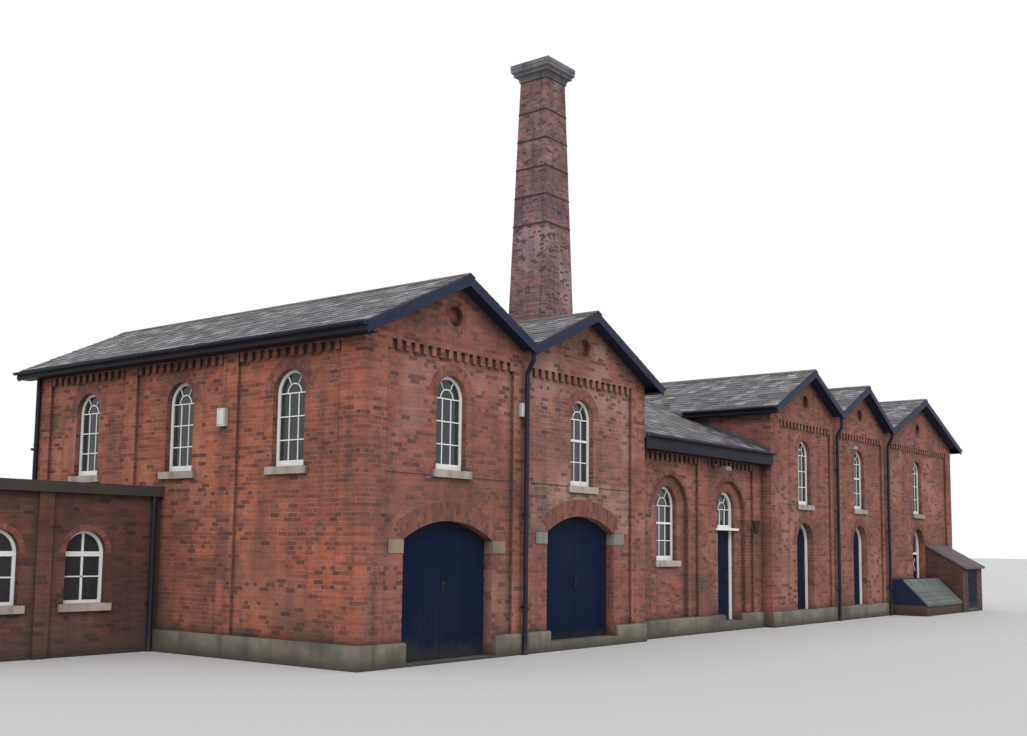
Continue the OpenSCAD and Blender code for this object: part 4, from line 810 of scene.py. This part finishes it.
# Barge boards, soffits and fascias in dark blue paint, with cast iron gutters and pipes. The
# pipes are jointed about every 1.8 m with a collar and two ears.
navy = worn_and_shaded("Navy paint", (0.0065, 0.0145, 0.046, 1), roughness=0.55, grime=0.2, wet=0.12, damp_top=0.15,
            bump=0.0015, specular=0.2)
eaves_paint = worn_and_shaded("Eaves paint", (0.0075, 0.0085, 0.020, 1), roughness=0.55, grime=0.25, wet=0.12,
                   damp_top=0.15, bump=0.0015, specular=0.15)
navy_iron = worn_and_shaded("Navy iron", (0.006, 0.010, 0.027, 1), roughness=0.5, grime=0.25, wet=0.1, damp_top=0.3,
                 bump=0.001, specular=0.2)
dress(navy, "barge_boards")
dress(eaves_paint, "eaves_boards")
dress(navy_iron, "gutters", "downpipes")
first_collar = 0.9
collar_pitch = 1.8
collar_below_top = 0.6
collar_h = 0.035
collar_sides = 12
collar_into_pipe = 0.002
collar_rings = ((0.0, 0.010), (0.10, 0.006))
ear_out = 0.045
ear_z = (-0.010, 0.045)
ear_from_wall = (0.014, 0.002)
collars = []
for lo, hi in solids("downpipes"):
    radius = round((hi.x - lo.x) / 2, 3)
    x, y = (lo.x + hi.x) / 2, hi.y - radius
    inside = radius - collar_into_pipe
    z = lo.z + first_collar
    while z < hi.z - collar_below_top:
        for lift, grow in collar_rings:
            outside = radius + grow
            for i in range(collar_sides):
                ring = [(r, 2 * math.pi * (i + k) / collar_sides)
                        for r, k in ((inside, 0), (outside, 0), (outside, 1), (inside, 1))]
                collars.append([(x + r * math.cos(a), y + r * math.sin(a), z + lift + h)
                                for h in (0.0, collar_h) for r, a in ring])
        collars.append(upright((x - radius - ear_out, y + radius - ear_from_wall[0], z + ear_z[0]),
                               (x + radius + ear_out, y + radius - ear_from_wall[1], z + ear_z[1])))
        z += collar_pitch
join_blocks("pipe_collars", collars, navy_iron)

# Chimney: the same brick, blackened by smoke, under a moulded cap in dark stone and tied
# with flat iron bands.
chimney_brick = brick_finish("Chimney brick", (0.32, 0.130, 0.115, 1), (0.060, 0.042, 0.056, 1),
                             (0.44, 0.32, 0.31, 1), (0.36, 0.31, 0.32, 1), repairs=0.55, burnt=0.8, grime=0.6,
                             wet=0.55, damp_top=0.6)
cap_stone = worn_and_shaded("Cap stone", (0.175, 0.165, 0.180, 1), roughness=0.92, grime=0.6, wet=0.7, damp_top=0.1,
                 bump=0.01)
dress(chimney_brick, "chimney_shaft")
dress(cap_stone, "chimney_cap")
dress(iron, "chimney_bands")

# Store and hatch: a lean-to with a felted roof, and a boarded hatch with two lids of lapped
# boards in faded grey green between dark blue cheeks.
felt = worn_and_shaded("Roofing felt", (0.115, 0.095, 0.105, 1), roughness=0.85, grime=0.45, wet=0.3, damp_top=0.1,
            bump=0.003)
lid_paint = worn_and_shaded("Faded green paint", (0.115, 0.135, 0.125, 1), roughness=0.65, grime=0.45, wet=0.25,
                 damp_top=0.2, bump=0.002)
lap_w = 0.17
lap_t = 0.008
lap_tilt = 0.004
lap_line = 0.01
lid_tail = 0.30
least_lid = 0.5
dress(felt, "store_roof")
dress(navy, "hatch_frame")
dress(lid_paint, "hatch_lid_left", "hatch_lid_right")
for name in ("hatch_lid_left", "hatch_lid_right"):
    laps = []
    for normal, faces in slopes(name, least_lid):
        rise, along, base, foot, top = slope_axes(normal, faces)
        for row in range(int((top - lid_tail - foot) / lap_w)):
            s = foot + row * lap_w
            t0, t1 = reach_at(faces, along, rise, s + lap_line)
            laps.append([base + along * t + rise * p + normal * (h + lift) for lift in (0.0, lap_t)
                         for t, p, h in ((t0, s, lap_tilt), (t1, s, lap_tilt), (t1, s + lap_w, -lap_tilt),
                                         (t0, s + lap_w, -lap_tilt))])
    join_blocks(name + "_boards", laps, lid_paint, name)

# Wall fixtures: two plain white boxes screwed to the brick, a flood lamp on a short arm over
# the link's door and one on the fourth gable, and an iron lantern on a bracket beside it.
grey_metal = worn_and_shaded("Grey metal", (0.32, 0.32, 0.32, 1), roughness=0.5, grime=0.4, wet=0.3, damp_top=0.1,
                  bump=0.001, metallic=0.6)
box_white = worn_and_shaded("Box white", (0.66, 0.65, 0.62, 1), roughness=0.5, grime=0.25, wet=0.4, damp_top=0.1,
                 bump=0.001)
end_box = ((-0.085, 3.56, 4.28), (0.001, 3.78, 4.62))
end_box_lid = ((-0.092, 3.58, 4.31), (-0.084, 3.76, 4.59))
front_box = ((4.33, -0.080, 4.66), (4.58, 0.001, 4.93))
join_blocks("wall_boxes", [upright(*corners) for corners in (end_box, end_box_lid, front_box)], box_white)

link_lamp_x = 13.10
link_lamp_z = 4.14
link_lamp_w = 0.32
gable_lamp_x = 21.0
gable_lamp_z = 5.24
gable_lamp_w = 0.30
into_wall = 0.002
arm_half = 0.012
lamp_reach = 0.28
hood_deep = 0.10
hood_rims = ((-0.05, 0.5), (0.05, 0.32))
arm_z = (0.050, 0.075)
plate_half = 0.04
plate_t = 0.012
plate_z = (0.010, 0.120)


def flood_lamp(x, y, z, size):
    """A flood lamp: a tapered hood on an arm that runs back to the wall at y."""
    hood_y = y - lamp_reach
    front, back = hood_y - hood_deep, hood_y + hood_deep
    hood = [(x + side * size * share, edge_y, z + lift) for lift, share in hood_rims
            for side, edge_y in ((-1, front), (1, front), (1, back), (-1, back))]
    arm = upright((x - arm_half, hood_y, z + arm_z[0]), (x + arm_half, y + into_wall, z + arm_z[1]))
    plate = upright((x - plate_half, y - plate_t, z + plate_z[0]),
                    (x + plate_half, y + into_wall, z + plate_z[1]))
    return [hood, arm, plate]


# Known fault: the link's lamp and the lantern's bracket reach back only to the piers' face, so
# they stop 58 mm before the sunk panel behind them.
join_blocks("flood_lamps", flood_lamp(link_lamp_x, link_lo.y, link_lamp_z, link_lamp_w)
            + flood_lamp(gable_lamp_x, panel_y, gable_lamp_z, gable_lamp_w), grey_metal)

lantern_x = 14.98
lantern_out = 0.20
lantern_y = link_lo.y - lantern_out
lantern_rims = ((2.50, 0.05), (2.86, 0.12))
lantern_sides = 8
bracket_z = (2.60, 2.63)
turn = 2 * math.pi / lantern_sides
lantern = [[(lantern_x + r * math.cos(turn * (i + k)), lantern_y + r * math.sin(turn * (i + k)), z)
            for z, wide in lantern_rims for r, k in ((0.0, 0), (wide, 0), (wide, 1), (0.0, 1))]
           for i in range(lantern_sides)]
lantern.append(upright((lantern_x - arm_half, lantern_y, bracket_z[0]),
                       (lantern_x + arm_half, link_lo.y + into_wall, bracket_z[1])))
join_blocks("wall_lantern", lantern, iron)

# Studio: a plain pale floor, a white backdrop that only the camera and reflections see, an
# even sky, and two soft lamps, the stronger from the left.
floor_reach = 400
floor_z = -0.002
floor_mesh = bpy.data.meshes.new("floor")
floor_corners = ((-1, -1), (1, -1), (1, 1), (-1, 1))
floor_mesh.from_pydata([(x * floor_reach, y * floor_reach, floor_z) for x, y in floor_corners], [],
                       [(0, 1, 2, 3)])
floor = bpy.data.objects.new("floor", floor_mesh)
bpy.context.scene.collection.objects.link(floor)
pale_floor, _, floor_shader, _ = finish("Pale floor", 0.9)
floor_shader.inputs["Base Color"].default_value = (0.50, 0.50, 0.49, 1)
floor_mesh.materials.append(pale_floor)

sky = bpy.data.worlds.new("studio")
sky.use_nodes = True
sky_tree = sky.node_tree
sky_light = sky_tree.nodes["Background"]
sky_light.inputs["Color"].default_value = (0.94, 0.97, 1.0, 1)
sky_light.inputs["Strength"].default_value = 0.92
backdrop = sky_tree.nodes.new("ShaderNodeBackground")
backdrop.inputs["Color"].default_value = (1, 1, 1, 1)
shown = sky_tree.nodes.new("ShaderNodeMixShader")
rays = sky_tree.nodes.new("ShaderNodeLightPath").outputs
seen = sums(sky_tree, "MAXIMUM", rays["Is Camera Ray"],
            sums(sky_tree, "MAXIMUM", rays["Is Glossy Ray"], rays["Is Transmission Ray"]))
sky_tree.links.new(seen, shown.inputs[0])
sky_tree.links.new(sky_light.outputs[0], shown.inputs[1])
sky_tree.links.new(backdrop.outputs[0], shown.inputs[2])
sky_tree.links.new(shown.outputs[0], sky_tree.nodes["World Output"].inputs["Surface"])
bpy.context.scene.world = sky
for name, strength, softness, aim in (("left lamp", 1.45, 30, Vector((0.70, 0.50, -0.62))),
                                      ("front lamp", 0.45, 60, Vector((0.1, 0.8, -0.5)))):
    lamp = bpy.data.lights.new(name, "SUN")
    lamp.energy = strength
    lamp.angle = math.radians(softness)
    lamp_object = bpy.data.objects.new(name, lamp)
    lamp_object.rotation_mode = "QUATERNION"
    lamp_object.rotation_quaternion = aim.to_track_quat("-Z", "Y")
    bpy.context.scene.collection.objects.link(lamp_object)

# Camera: at a standing person's height off the front left corner, as worked out from the
# building's own straight lines.
eye = (-14.217, -14.186, 2.09)
heading = math.radians(37.91 - 90)
tilt = math.radians(90 + 5.995)
roll = math.radians(0.643)
lens = bpy.data.cameras.new("camera")
lens.sensor_width = 36
lens.lens = 41.53
lens.shift_x = 0.0051
lens.shift_y = 0.0529
lens.clip_end = 2000
camera = bpy.data.objects.new("camera", lens)
camera.location = eye
camera.rotation_mode = "QUATERNION"
camera.rotation_quaternion = (Matrix.Rotation(heading, 3, "Z") @ Matrix.Rotation(tilt, 3, "X")
                              @ Matrix.Rotation(roll, 3, "Z")).to_quaternion()
bpy.context.scene.collection.objects.link(camera)
bpy.context.scene.camera = camera
bpy.context.scene.view_settings.view_transform = "Standard"
